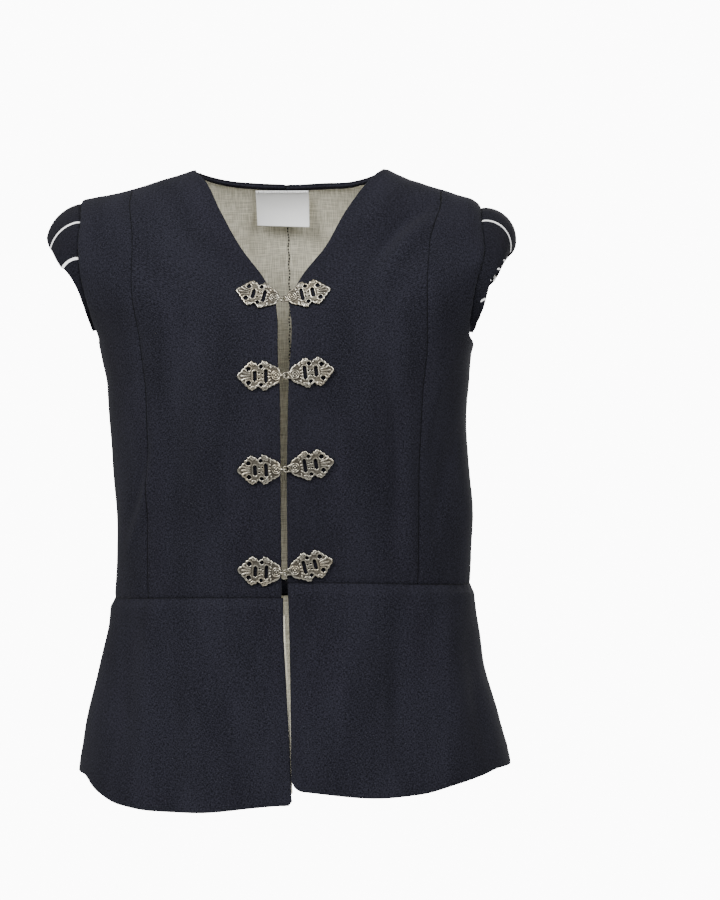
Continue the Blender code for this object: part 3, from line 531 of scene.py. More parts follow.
# Soft folds, from one end to the other: places across (the wearer's left is positive) and up, how far the
# line bows, half its width and how far it stands out of the cloth or sinks into it
Fold = namedtuple("Fold", "across_a up_a across_b up_b bow width rise")
FRONT_FOLDS = table(
    Fold,
    (134, -38, 78, -102, 5, 9, -5.6), (142, -52, 92, -114, 6, 9, 4.2), (118, -20, 62, -72, 4, 11, 2.0),
    (77, -150, 74, -380, 6, 15, 3.2), (98, -190, 99, -385, -5, 9, -2.7), (117, -215, 116, -392, 3, 8, 2.5),
    (34, -205, 44, -262, 4, 17, -2.5), (50, -290, 30, -345, 5, 15, -1.7),
    (-105, -175, -106, -380, -6, 15, -3.7), (-62, -150, -66, -385, 5, 20, 2.7),
    (-38, -300, -58, -352, 4, 10, -2.4), (-122, -262, -149, -368, -5, 5, 2.9),
    (-128, -255, -156, -352, -5, 6, -2.0), (-120, -60, -92, -130, 6, 12, -2.2),
    (-150, -55, -120, -140, 8, 10, 1.7), (152, -190, 128, -300, 7, 7, 2.0),
    (160, -255, 140, -345, 5, 7, -2.4), (-80, -60, -48, -118, 5, 14, 1.7),
)
BACK_FOLDS = table(
    Fold,
    (60, -60, 74, -330, 8, 17, 2.7), (-66, -80, -58, -350, -7, 16, 2.5), (96, -150, 88, -385, 5, 12, -3.4),
    (-98, -130, -92, -380, -6, 13, -3.1), (30, -250, 34, -392, 4, 10, 2.2),
    (-34, -230, -26, -390, -4, 11, -2.2), (168, -120, 118, -214, -8, 10, 2.7),
    (-172, -125, -120, -226, 9, 10, -2.9), (128, -300, 112, -392, 4, 8, 2.2),
    (-138, -290, -122, -390, -5, 9, 2.4), (14, -330, 96, -352, 5, 7, -1.7),
    (-20, -345, -92, -362, -4, 7, -1.9), (-110, -40, -60, -92, 7, 12, -1.9),
    (112, -44, 70, -88, -6, 12, 1.7),
)
SKIRT_FRONT_FOLDS = table(
    Fold,
    (-150, -425, -163, -560, -6, 17, -3.9), (-124, -418, -128, -590, 5, 11, 2.2),
    (-72, -412, -70, -602, 4, 19, 2.5), (-40, -500, -38, -604, -4, 10, -3.2),
    (-96, -470, -100, -600, 4, 9, -2.0), (22, -420, 18, -585, 4, 13, -1.7),
    (58, -400, 60, -585, -5, 19, 2.7), (106, -420, 112, -582, 5, 11, -4.4),
    (146, -405, 156, -570, -5, 11, 3.6), (176, -410, 190, -565, 6, 9, -2.5),
)
SKIRT_BACK_FOLDS = table(
    Fold,
    (-168, -410, -182, -575, 6, 13, 3.1), (-128, -405, -136, -580, -5, 14, -4.1),
    (-86, -430, -92, -590, 5, 15, 3.2), (-44, -408, -46, -590, -4, 13, -2.7),
    (4, -425, 0, -592, 4, 18, 2.7), (48, -410, 54, -588, 5, 12, -3.4), (92, -400, 98, -585, -5, 15, 3.2),
    (136, -420, 148, -575, 4, 12, -3.4), (170, -400, 184, -566, -4, 10, 2.5),
)
# A fold swells and dies away along this part of a half wave, blunted by a power
SWELL_START = 0.08
SWELL_SPAN = 0.84
SWELL_POWER = 0.8
# Slow unevenness of the cloth: the length of each wave across and up, its turn and its height
Wave = namedtuple("Wave", "across up turn height")
WAVES = table(
    Wave,
    (83, 310, 0.4, 0.45), (141, -190, 2.1, 0.5), (57, 127, 4.4, 0.22), (-39, 88, 1.3, 0.14),
    (230, 61, 5.2, 0.2),
)
# Folds fade out where front and back meet, at the side seam and the shoulder line
MEETING = 1.0
MEETING_FADE = 28.0
# The cloth lies still under the clasps
CALM_ACROSS = 58.0
CALM_UP = 24.0
CALM_POWER = 4
# Small pulls of the thread beside the seams
PULL_REACH = 6.5
PULLS = ((1.9, 0.0, 0.6), (4.3, 2.0, 0.4))
PULL_MEAN = -0.7
PULL_SWAY = 1.6
PULL_SWAY_LENGTH = 17.0
SEAM_PULL = 0.28
ARMHOLE_PULL = 0.34
WAIST_PULL = 0.5
HEM_PULL = 0.14
# Right at a seam the cloth sinks by this many times its pull
SINK = 2.4
SINK_REACH = 2.0
# Width of the turned hem, and how far its edge shows through
HEM_TURN = 21.0
HEM_SHOW = 0.3
HEM_SLOPE = 1.5
# A band of cloth is cut at least this wide before it is folded, in metres
NARROWEST_CUT = 0.012
# The label stands out at its foot, less so at its first side
LABEL_LIFT = 8.0
LABEL_LEAN = (0.6, 1.0)
LABEL_FINE = 28


def folded(points, folds):
    """How far a wall stands out at each point of a grid, for its folds and slow waves."""
    across, up = points[..., 0] / MM, points[..., 2] / MM
    rise = np.zeros(across.shape)
    for fold in folds:
        line = np.array([fold.across_b - fold.across_a, fold.up_b - fold.up_a])
        length = np.hypot(*line)
        run, climb = across - fold.across_a, up - fold.up_a
        along = (run * line[0] + climb * line[1]) / length ** 2
        part = np.clip(along, 0.0, 1.0)
        beside = (run * line[1] - climb * line[0]) / length - 4 * fold.bow * part * (1 - part)
        beyond = np.maximum(np.maximum(-along, along - 1), 0.0) * length
        swell = np.sin(np.pi * (SWELL_START + SWELL_SPAN * part)) ** SWELL_POWER
        rise += fold.rise * swell * np.exp(-(beside ** 2 + beyond ** 2) / fold.width ** 2)
    rise *= ease(np.abs(points[..., 1]) / MM, MEETING, MEETING + MEETING_FADE)
    for wave in WAVES:
        rise += wave.height * np.sin(2 * np.pi * (across / wave.across + up / wave.up) + wave.turn)
    return rise


def calm(points):
    """Share of a fold that is left at each point of the front: none under a clasp."""
    across, up = points[..., 0] / MM, points[..., 2] / MM
    left = np.ones(across.shape)
    for clasp in CLASPS:
        reach = (across / CALM_ACROSS) ** CALM_POWER + ((up + clasp.drop) / CALM_UP) ** CALM_POWER
        left = left * (1 - np.exp(-reach))
    return left


def with_folds(points, folds, front=False):
    rise = folded(points, folds)
    if front:
        rise = rise * calm(points)
    return points + MM * rise[..., None] * grid_normals(points)


def reaches(points):
    """Distances of a grid's points from its inner and outer edge and its foot and head, in millimetres."""
    steps = np.linalg.norm(np.diff(points, axis=1), axis=-1) / MM
    across = np.concatenate([np.zeros((len(points), 1)), np.cumsum(steps, axis=1)], axis=1)
    steps = np.linalg.norm(np.diff(points, axis=0), axis=-1) / MM
    up = np.concatenate([np.zeros((1, points.shape[1])), np.cumsum(steps, axis=0)], axis=0)
    return {"inner": across, "outer": across[:, -1:] - across, "foot": up, "head": up[-1:] - up}


def with_pulls(points, seams):
    """Draws the cloth in beside its seams, unevenly, as the thread does."""
    reach = reaches(points)
    rise = np.zeros(points.shape[:2])
    for edge, depth in seams.items():
        along = reach["foot"] if edge in ("inner", "outer") else reach["inner"]
        pull = PULL_MEAN
        sway = PULL_SWAY * np.sin(along / PULL_SWAY_LENGTH)
        for length, turn, share in PULLS:
            pull = pull + share * np.sin(along / length + turn + sway)
        rise += depth * pull * np.exp(-reach[edge] / PULL_REACH)
        rise -= depth * SINK * np.exp(-(reach[edge] / SINK_REACH) ** 2)
    return points + MM * rise[..., None] * grid_normals(points)


def inset(points, distance):
    """Draws the border of a grid in by a distance, to leave room for its rounded edge."""
    points = points.copy()
    for edge, inner in ((0, 1), (-1, -2)):
        draw_in(points[edge], points[inner], distance)
        draw_in(points[:, edge], points[:, inner], distance)
    return points


def unit(vectors):
    return vectors / np.maximum(np.linalg.norm(vectors, axis=-1, keepdims=True), TINY)


def border(grid):
    """The border of a grid, once round."""
    return np.concatenate([grid[0, :-1], grid[:-1, -1], grid[-1, :0:-1], grid[:0:-1, 0]])


def wall(points, thickness):
    """Closed shell on a grid of inner points, with round edges. Gives its points, faces and flat places."""
    points = inset(points, 0.5 * thickness)
    normals = grid_normals(points)
    rows, columns, _ = points.shape
    reach = reaches(points)
    flat = np.stack([reach["inner"], reach["foot"]], axis=-1)
    away = np.zeros_like(points)
    drift = np.zeros_like(flat)
    for edge, inner, turn in ((0, 1, -1), (-1, -2, 1)):
        away[edge] += unit(points[edge] - points[inner])
        away[:, edge] += unit(points[:, edge] - points[:, inner])
        drift[edge] += (0, turn)
        drift[:, edge] += (turn, 0)
    away = unit(away - normals * np.sum(away * normals, axis=-1, keepdims=True))
    ring_points, ring_normals, ring_away = border(points), border(normals), border(away)
    ring_flat, ring_drift = border(flat), border(drift)
    middle = ring_points + 0.5 * MM * thickness * ring_normals
    verts = [(points + MM * thickness * normals).reshape(-1, 3), points.reshape(-1, 3)]
    places = [flat.reshape(-1, 2), flat.reshape(-1, 2)]
    count = rows * columns
    loop = border(np.arange(count).reshape(rows, columns))
    rings = [loop]
    for step in range(EDGE_STEPS):
        turn = math.pi * (step + 1) / (EDGE_STEPS + 1)
        lean = math.cos(turn) * ring_normals + math.sin(turn) * ring_away
        verts.append(middle + 0.5 * MM * thickness * lean)
        places.append(ring_flat + 0.5 * thickness * turn * ring_drift)
        rings.append(2 * count + step * len(loop) + np.arange(len(loop)))
    rings.append(count + loop)
    grid = np.arange(count).reshape(rows, columns)
    quads = np.stack([grid[:-1, :-1], grid[:-1, 1:], grid[1:, 1:], grid[1:, :-1]], axis=-1).reshape(-1, 4)
    faces = [quads]
    for first, second in zip(rings[:-1], rings[1:]):
        faces.append(np.stack([np.roll(first, -1), first, second, np.roll(second, -1)], axis=-1))
    faces.append(quads[:, ::-1] + count)
    faces = np.concatenate(faces)
    along, up = np.gradient(points, axis=1), np.gradient(points, axis=0)
    if np.sum(np.cross(along, up) * normals) < 0:
        faces = faces[:, ::-1]
    return np.concatenate(verts), faces, MM * np.concatenate(places)


# Where a grid's edges are, and how deep in the seam each step of a rounded edge lies, which sets how much
# painted shade of the seam's groove it gets
EDGE_PLACES = {"inner": np.s_[:, 0], "outer": np.s_[:, -1], "foot": np.s_[0], "head": np.s_[-1]}
SEWN_START = 0.45
SEWN_ROUND = (0.8, 1.0, 1.0)


def added(name, data):
    """A new object in the scene."""
    made = bpy.data.objects.new(name, data)
    bpy.context.scene.collection.objects.link(made)
    return made


def mesh_piece(name, verts, faces, look):
    mesh = bpy.data.meshes.new(name)
    mesh.from_pydata(verts.tolist(), [], faces)
    mesh.shade_smooth()
    mesh.materials.append(look)
    return added(name, mesh)


def belongs(piece, slot, *nodes):
    """Hangs a finished piece on the doublet, so that it moves with it, and hides the model's parts that it
    stands in for.
    """
    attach(piece, "root")
    if nodes:
        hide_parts(*nodes)


def mark(mesh, name, values):
    """Gives each point of a mesh a value that its look can read."""
    mesh.attributes.new(name, "FLOAT", "POINT").data.foreach_set("value", values)


def mark_wall(mesh, name, outside, inside, rounds):
    """Marks a wall's points with its outside's values, its inside's and those round its edge."""
    edge = [border(values) for values in rounds]
    mark(mesh, name, np.concatenate([outside.ravel(), inside.ravel()] + edge))


def cloth(name, points, thickness, look, slot, node, seams=(), stripes=None):
    """A sheet of cloth on a grid of its inner points, with painted shade of the seam's groove along the
    edges that are sewn.
    """
    verts, faces, places = wall(points, thickness)
    piece = mesh_piece(name, verts, faces.tolist(), look)
    mesh = piece.data
    unwrapped = mesh.uv_layers.new(name="cloth")
    corners = np.empty(len(mesh.loops), int)
    mesh.loops.foreach_get("vertex_index", corners)
    unwrapped.data.foreach_set("uv", places[corners].ravel())
    reach = reaches(points)
    width = MM * reach["inner"][:, -1].max()
    length = max(MM * reach["foot"][-1].max(), NARROWEST_CUT)
    across = np.linalg.norm(points[:-1, 1:] - points[:-1, :-1], axis=-1)
    up = np.linalg.norm(points[1:, :-1] - points[:-1, :-1], axis=-1)
    area = min(float(np.sum(across * up)), width * length)
    if stripes is not None:
        mark_wall(mesh, "stripe", MM * stripes, MM * stripes, [MM * stripes] * EDGE_STEPS)
    # Marks the sewn edges, where the wool gets painted shade of the seam's groove
    sewn = np.zeros(points.shape[:2])
    for edge in seams:
        sewn[EDGE_PLACES[edge]] = 1.0
    mark_wall(mesh, "sewn", SEWN_START * sewn, 0 * sewn, [share * sewn for share in SEWN_ROUND])
    belongs(piece, slot, node)


# Grids of the pieces' inner walls

def fine_levels(top, rows=BODICE_ROWS):
    return np.linspace(WAIST_SEAM / 2 / (WAIST_DROP - CHEST_DROP), top - SHOULDER_SEAM, rows)


def front_grid(side, levels, inner, outer, columns):
    angles = columns_between([inner, outer], [columns])
    return with_folds(bodice_point(side, FRONT, angles, levels[:, None]), FRONT_FOLDS, front=True)


def front_centre_grid(side):
    levels = fine_levels(FRONT_TOP)
    front = edge_angles(FRONT_EDGE, side, FRONT, levels, 0.0)
    seam = edge_angles(LONG_SEAM, side, FRONT, levels, -SEAM / 2)
    return front_grid(side, levels, front, seam, FRONT_FINE)


def front_side_grid(side, levels):
    seam = edge_angles(LONG_SEAM, side, FRONT, levels, SEAM / 2)
    return front_grid(side, levels, seam, outer_angles(side, FRONT, levels), SIDE_FINE)


def back_grid(side, levels, columns):
    centre = edge_angles(BACK_SEAM, side, BACK, levels, SEAM / 2)
    inner_neck, neck = (np.full(len(levels), ring_angle(BODICE_RINGS, side, across, 0.0))
                        for across in (NECK_TURN, SIDE_NECK))
    outer = outer_angles(side, BACK, levels)
    angles = columns_between([centre, inner_neck, neck, outer], columns)
    tops = back_tops(side, angles)
    full = BACK_TOP - SHOULDER_SEAM
    part = np.clip(levels - 1.0, 0.0, None)[:, None] / (full - 1.0)
    raised = levels[:, None] - (full - tops) * part ** NECK_BEND
    return with_folds(bodice_point(side, BACK, angles, raised), BACK_FOLDS)


def corner_rise(side, beside):
    """How much the hem rises at a distance from the front edge, for the corner's rounding."""
    size = CORNER[side]
    part = np.clip(1 - beside / size, 0.0, 1.0)
    return size * (1 - np.sqrt(1 - part ** 2))


def skirt_grid(side, face, inner_edge, folds):
    """From an inner edge to the side seam, and from the waist seam to the hem."""
    head = np.linspace(0.0, SKIRT_COLLAR + SKIRT_SPRING_LENGTH, SKIRT_HEAD_ROWS)
    lower = np.linspace(0.0, 1.0, SKIRT_FINE_ROWS + 1)[1:]
    angle = np.full((len(head) + SKIRT_FINE_ROWS, SKIRT_FINE_COLUMNS + 1), FIRST_ANGLE)
    outward = np.linspace(0.0, 1.0, SKIRT_FINE_COLUMNS + 1)[None, :]
    if face == FRONT:
        outward = 0.5 * outward * (1 + outward)
    for _ in range(ROUNDS):
        hem = read(HEM, side, angle[-1] if face == FRONT else 180 - angle[-1])
        if face == FRONT:
            across = ring_across(SKIRT_RINGS, side, angle[-1], hem)
            hem = hem - corner_rise(side, across - across[0])
        waist = waist_drop(angle[0]) + WAIST_SEAM / 2
        start = waist + head[-1]
        drops = np.concatenate([waist + head[:, None], start + (hem - start) * lower[:, None]])
        inner = inner_edge(drops[:, :1])
        angle = inner + (side_angle(face, CHEST_DROP) - inner) * outward
    points = skirt_point(side, face, angle, drops)
    hem_reach = reaches(points)["head"]
    points = with_folds(points, folds)
    step = HEM_SHOW * (1 - ease(hem_reach, HEM_TURN - HEM_SLOPE, HEM_TURN + HEM_SLOPE))
    return points + MM * step[..., None] * grid_normals(points)


def skirt_front_grid(side):
    def inner_edge(drops):
        across = read(SKIRT_EDGE, side, drops)
        return ring_angle(SKIRT_RINGS, side, across, drops)
    return skirt_grid(side, FRONT, inner_edge, SKIRT_FRONT_FOLDS)


def skirt_back_grid():
    def inner_edge(drops):
        return np.zeros(drops.shape)
    right = skirt_grid(RIGHT, BACK, inner_edge, SKIRT_BACK_FOLDS)
    left = skirt_grid(LEFT, BACK, inner_edge, SKIRT_BACK_FOLDS)
    return np.concatenate([right[:, ::-1], left[:, 1:]], axis=1)


def wing_grid(side):
    """The wing's middle layer, whose root follows the armhole from the front over the shoulder and down."""
    halves = []
    for face, top in ((FRONT, FRONT_TOP), (BACK, BACK_TOP)):
        levels = np.linspace(WING_END_LEVEL, top - SHOULDER_SEAM, WING_ROWS)
        points = front_side_grid(side, levels) if face == FRONT else back_grid(side, levels, BACK_FINE)
        normals = grid_normals(points)[:, -1]
        rim = points[:, -1] + 0.5 * CLOTH * MM * normals
        rim[:, 0] -= MM * side * WING_TUCK
        halves.append(rim if face == FRONT else rim[:-1][::-1])
    root = np.concatenate(halves, axis=0)
    root[:, 2] -= MM * WING_DIP[side] * (1 - ease(-root[:, 2] / MM, WING_DIP_START, WING_DIP_END))
    start, end = (math.radians(value) for value in WING_BEND[side])
    parts = (np.arange(WING_FINE) + 0.5) / WING_FINE
    rows = []
    for point in root:
        width = read(WING_WIDTH, side, np.array(-point[2] / MM))
        reach = min(WING_ROOT, WING_ROOT_SHARE * width)
        row = [point, point + np.array([side * reach * MM, 0.0, 0.0])]
        step = (width - reach) / WING_FINE
        turn = (end - start) * min(1.0, width / WING_FULL_BEND)
        for part in parts:
            bend = start + turn * part
            move = np.array([side * math.cos(bend), 0.0, -math.sin(bend)]) * step * MM
            row.append(row[-1] + move)
        rows.append(row)
    return moved_in(np.array(rows), 0.5 * WING_CLOTH)


def row_at(grid, face, drop):
    """Row of a wing's grid whose root lies at a drop, in front of the shoulder line or behind it."""
    drops = -grid[:, 0, 2] / MM
    rows = np.arange(len(drops))
    top = int(np.argmin(drops))
    if face == FRONT:
        return np.interp(-drop, -drops[:top + 1], rows[:top + 1])
    return np.interp(drop, drops[top:], rows[top:])


def stripe_reach(grid, stripes, dashes):
    """How far each point of a wing lies from the middle of the nearest stripe."""
    foot = reaches(grid)["foot"]
    along, across = unit(np.gradient(grid, axis=0)), unit(np.gradient(grid, axis=1))
    square = np.linalg.norm(np.cross(along, across), axis=-1)
    rows = np.arange(len(grid))
    nearest = np.full(foot.shape, NO_STRIPE)
    for stripe in stripes:
        row = row_at(grid, stripe.face, stripe.drop)
        middle = np.array([np.interp(row, rows, foot[:, column]) for column in range(foot.shape[1])])
        nearest = np.minimum(nearest, np.abs(foot - middle) * square)
    for dash in dashes:
        run, climb = grid[..., 0] / MM - dash.across, grid[..., 2] / MM - dash.up
        beyond = np.maximum(np.abs(run) - 0.5 * dash.long, 0.0)
        reach = np.hypot(beyond, climb - dash.slope * run) * STRIPE / dash.wide
        nearest = np.where(grid[..., 1] < 0, np.minimum(nearest, reach), nearest)
    return nearest


def label_grid():
    across = LABEL_CENTRE + LABEL_WIDTH * np.linspace(-0.5, 0.5, LABEL_FINE)
    drops = LABEL_DROP + LABEL_HEIGHT * np.linspace(0.0, 1.0, LABEL_FINE)
    grid = np.zeros((len(drops), len(across), 3))
    for column, place in enumerate(across):
        side = RIGHT if place < 0 else LEFT
        reach = np.full(len(drops), abs(place))
        levels = level_of(BACK, reach, drops)
        grid[:, column] = bodice_point(side, BACK, ring_angle(BODICE_RINGS, side, reach, drops), levels)
    fall = np.linspace(0.0, 1.0, LABEL_FINE)[:, None] ** 2
    lean = np.linspace(*LABEL_LEAN, LABEL_FINE)[None, :]
    lift = LABEL_LIFT * fall * lean
    return grid - MM * (LABEL_INSET + lift)[..., None] * grid_normals(grid)


# Sewing

# Stitches: length, distance from one to the next, how far each lies to a side, and how far off the cloth
Sewing = namedtuple("Sewing", "length pitch aside lift")
BACK_SEWING = Sewing(2.5, 3.3, 0.5, 0.1)
LABEL_SEWING = Sewing(1.6, 2.6, 0.15, 0.15)
THREAD = 0.75
THREAD_FLATNESS = 0.8
STITCH_MARGIN = 0.6
# Unevenness of the stitches: how far they drift, lean and differ in length, and how fast their drift, lean,
# step aside and length come round
STITCH_DRIFT = 0.3
STITCH_LEAN = 0.12
STITCH_SPREAD = 0.12
STITCH_TURNS = (2.3, 1.7, 1.1, 3.1)


def bead():
    """One stitch's shape, a small round-ended bar."""
    bpy.ops.mesh.primitive_uv_sphere_add(segments=8, ring_count=5, radius=1.0)
    ball = bpy.context.active_object
    verts = np.array([vert.co[:] for vert in ball.data.vertices])
    faces = [tuple(face.vertices) for face in ball.data.polygons]
    bpy.data.objects.remove(ball)
    return verts, faces


def read_line(run, line, place):
    """A line's point, or its normal, at a distance along it."""
    return np.array([np.interp(place, run, line[:, axis]) for axis in range(3)])


def stitches(name, line, normals, sewing, look, slot):
    """Stitches along a line, each a little to one side or the other of it."""
    ball, ball_faces = bead()
    line = line + MM * sewing.lift * normals
    steps = np.linalg.norm(np.diff(line, axis=0), axis=1) / MM
    run = np.concatenate([[0.0], np.cumsum(steps)])
    margin = STITCH_MARGIN * sewing.pitch
    verts, faces = [], []
    for number, place in enumerate(np.arange(margin, run[-1] - margin, sewing.pitch)):
        drift, lean, aside, spread = (math.sin(number * turn) for turn in STITCH_TURNS)
        place = place + STITCH_DRIFT * drift
        at = read_line(run, line, place)
        off = unit(read_line(run, normals, place))
        along = unit(read_line(run, line, place + 1.0) - at)
        along = unit(along + STITCH_LEAN * lean * np.cross(off, along))
        across = np.cross(off, along)
        at = at + MM * sewing.aside * aside * across
        size = 0.5 * sewing.length * (1 + STITCH_SPREAD * spread)
        start = len(verts) * len(ball)
        verts.append(at + MM * (ball[:, :1] * size * along + ball[:, 1:2] * THREAD * across
                                + ball[:, 2:] * THREAD_FLATNESS * THREAD * off))
        faces += [tuple(corner + start for corner in face) for face in ball_faces]
    belongs(mesh_piece(name, np.concatenate(verts), faces, look), slot)


# Clasps: cast plates with a scalloped edge, ribs that fan out to the tip, and rings round a boss

RIM_INSET = 0.9
RIM_WIRE = 0.4
RIM_HEIGHT = 0.95
HOLE_RIM = 1.3
RIMMED_HOLES = 6
SCALLOP_LENGTH = 4.1
SCALLOP_DEPTH = 0.75
SCALLOP_SHIFT = 0.75
SCALLOPS_START = (1.0, 6.0)
SCALLOPS_END = (PLATE_LENGTH - 3.0, PLATE_LENGTH)
# Degrees round the loop's outer end, and how many points
LOOP_ARC = (172, 95, 9)
EDGE_POINTS = 120
PLATE_BEVEL = 0.3
CAST_GRAIN = 0.36
# Grooves between the cast's ribs are dark and its ridges bright, by how far they stand out of the relief
LOWEST_RELIEF = 0.6
RELIEF_SPREAD = 14
GROOVE = -0.24
RIDGE_TOP = 0.3
# Ribs: where each starts, its direction in degrees, length and half width
Rib = namedtuple("Rib", "along up turn length half")
TIP_RIBS = [Rib(28.0, turn / 9, turn, 10.0 - abs(turn) / 9, 0.8) for turn in (-13, 0, 13)]
TIP_RIBS += [Rib(33.6, sign * 2.9, sign * 22, 4.0, 0.6) for sign in (1, -1)]
HOLE_RIBS = [Rib(25.6, sign * 9.2, sign * turn, 3.6, 0.7) for sign in (1, -1) for turn in (38, 84, 128)]
SHOULDER_RIBS = [Rib(15.2, sign * 8.8, sign * turn, 4.0, 0.7) for sign in (1, -1)
                 for turn in (74, 108, 142, 176)]
BOSS_RIBS = [Rib(9.4, sign * turn / 14, sign * turn, 2.8, 0.6) for sign in (1, -1) for turn in (14, 46, 82)]
RIB_HEIGHT = 0.55


def scalloped_outline(with_loop):
    """Edge of a plate with its small scallops, round from the inner end over the top to the tip and back."""
    turns = np.linspace(PLATE_START, PLATE_END, EDGE_POINTS)
    along = PLATE_LENGTH * (0.5 - 0.5 * np.cos(turns))
    half = read(PLATE_OUTLINE, "half", along)
    edge = np.stack([along, half], axis=-1)
    run = np.concatenate([[0.0], np.cumsum(np.linalg.norm(np.diff(edge, axis=0), axis=1))])
    travel = unit(np.gradient(edge, axis=0))
    out = np.stack([-travel[:, 1], travel[:, 0]], axis=-1)
    swell = SCALLOP_DEPTH * (np.abs(np.sin(np.pi * run / SCALLOP_LENGTH)) - SCALLOP_SHIFT)
    fade = ease(along, *SCALLOPS_START) * (1 - ease(along, *SCALLOPS_END))
    top = [tuple(point) for point in edge + (swell * fade)[:, None] * out]
    if with_loop:
        arc = np.radians(np.linspace(*LOOP_ARC))
        end = [(LOOP_HALF * (1 + math.cos(turn)) - LOOP_LENGTH, LOOP_HALF * math.sin(turn)) for turn in arc]
        rest = [point for point in top if point[0] > LOOP_NECK]
        top = end + [(-LOOP_NECK, LOOP_HALF)] + rest
    return top + [(x, -y) for x, y in reversed(top)]


def round_hole(hole, sides=16):
    """Outline of a slot or hole: round ends joined by straight sides."""
    narrow = 0.5 * hole.wide
    stretch = 0.5 * hole.high - narrow
    outline = []
    for step in range(sides):
        turn = 2 * math.pi * (step + 0.5) / sides
        shift = stretch if math.sin(turn) > 0 else -stretch
        outline.append((hole.along + narrow * math.cos(turn), hole.up + narrow * math.sin(turn) + shift))
    return outline


def choose(*pieces):
    bpy.ops.object.select_all(action="DESELECT")
    for piece in pieces:
        piece.select_set(True)
    bpy.context.view_layer.objects.active = pieces[0]


def drawn(name, curve):
    """Makes a curve a mesh."""
    holder = added(name, curve)
    choose(holder)
    bpy.ops.object.convert(target="MESH")
    return bpy.context.active_object


def new_curve(name, lines, closed, flat):
    curve = bpy.data.curves.new(name, "CURVE")
    curve.dimensions = "2D" if flat else "3D"
    for line in lines:
        spline = curve.splines.new("POLY")
        spline.points.add(len(line) - 1)
        for point, place in zip(spline.points, line):
            height = place[2] if len(place) > 2 else 0.0
            point.co = (place[0] * MM, place[1] * MM, height * MM, 1.0)
        spline.use_cyclic_u = closed
    return curve


def plate_piece(with_loop):
    outlines = [scalloped_outline(with_loop)] + [round_hole(hole) for hole in PLATE_HOLES]
    if with_loop:
        outlines.append(round_hole(LOOP_HOLE))
    curve = new_curve("plate", outlines, True, True)
    curve.fill_mode = "BOTH"
    curve.extrude = (0.5 * PLATE_THICKNESS - PLATE_BEVEL) * MM
    curve.bevel_depth = PLATE_BEVEL * MM
    curve.offset = -PLATE_BEVEL * MM
    plate = drawn("plate", curve)
    plate.data.transform(Matrix.Translation((0.0, 0.0, 0.5 * PLATE_THICKNESS * MM)))
    return plate


def wire_piece(name, lines, radius, closed=True):
    curve = new_curve(name, lines, closed, False)
    curve.bevel_depth = radius * MM
    curve.bevel_resolution = 2
    curve.use_fill_caps = not closed
    return drawn(name, curve)


def rim_lines(with_loop):
    """A raised line just inside the plate's edge, and one round each slot and hole."""
    edge = np.array(scalloped_outline(with_loop))
    travel = unit(np.roll(edge, -1, axis=0) - np.roll(edge, 1, axis=0))
    inward = np.stack([travel[:, 1], -travel[:, 0]], axis=-1)
    raised = RIM_HEIGHT * PLATE_THICKNESS
    lines = [[(x, y, raised) for x, y in edge + RIM_INSET * inward]]
    for hole in PLATE_HOLES[:RIMMED_HOLES]:
        wider = Hole(hole.along, hole.up, hole.wide + HOLE_RIM, hole.high + HOLE_RIM)
        lines.append([(x, y, raised) for x, y in round_hole(wider)])
    return lines


def rib_piece(rib):
    turn = math.radians(rib.turn)
    middle = (rib.along + 0.5 * rib.length * math.cos(turn), rib.up + 0.5 * rib.length * math.sin(turn))
    place = Vector((middle[0], middle[1], PLATE_THICKNESS)) * MM
    size = (0.5 * rib.length * MM, rib.half * MM, RIB_HEIGHT * MM)
    bpy.ops.mesh.primitive_uv_sphere_add(segments=10, ring_count=6, radius=1.0, location=place,
                                         rotation=(0.0, 0.0, turn), scale=size)
    return bpy.context.active_object


def ring_piece(radius, wire, along, height):
    bpy.ops.mesh.primitive_torus_add(major_radius=radius * MM, minor_radius=wire * MM, major_segments=28,
                                     minor_segments=8, location=Vector((along, 0.0, height)) * MM)
    return bpy.context.active_object


def boss_pieces():
    """Two raised rings round a button, on a low round step."""
    height = BOSS_HEIGHT - PLATE_THICKNESS
    place = Vector((BOSS_PLACE, 0.0, PLATE_THICKNESS + STEP_PLACE * height)) * MM
    bpy.ops.mesh.primitive_cylinder_add(vertices=28, radius=BOSS_RADIUS * MM, location=place,
                                        depth=STEP_HEIGHT * height * MM)
    pieces = [bpy.context.active_object]
    for radius, wire, share in BOSS_RINGS:
        pieces.append(ring_piece(radius * BOSS_RADIUS, wire, BOSS_PLACE, PLATE_THICKNESS + share * height))
    return pieces


def standing_out(mesh):
    """How much each point of a cast stands out of what is round it: 0 in a groove, 1 on a rib."""
    places = np.empty(3 * len(mesh.vertices))
    mesh.vertices.foreach_get("co", places)
    height = np.clip(places[2::3] / MM, LOWEST_RELIEF, None)
    ends = np.empty(2 * len(mesh.edges), int)
    mesh.edges.foreach_get("vertices", ends)
    first, second = ends[::2], ends[1::2]
    count = np.bincount(ends, minlength=len(height))
    level = height
    for _ in range(RELIEF_SPREAD):
        beside = np.bincount(first, level[second], len(height))
        beside += np.bincount(second, level[first], len(height))
        level = beside / np.maximum(count, 1)
    return ease(height - level, GROOVE, RIDGE_TOP)


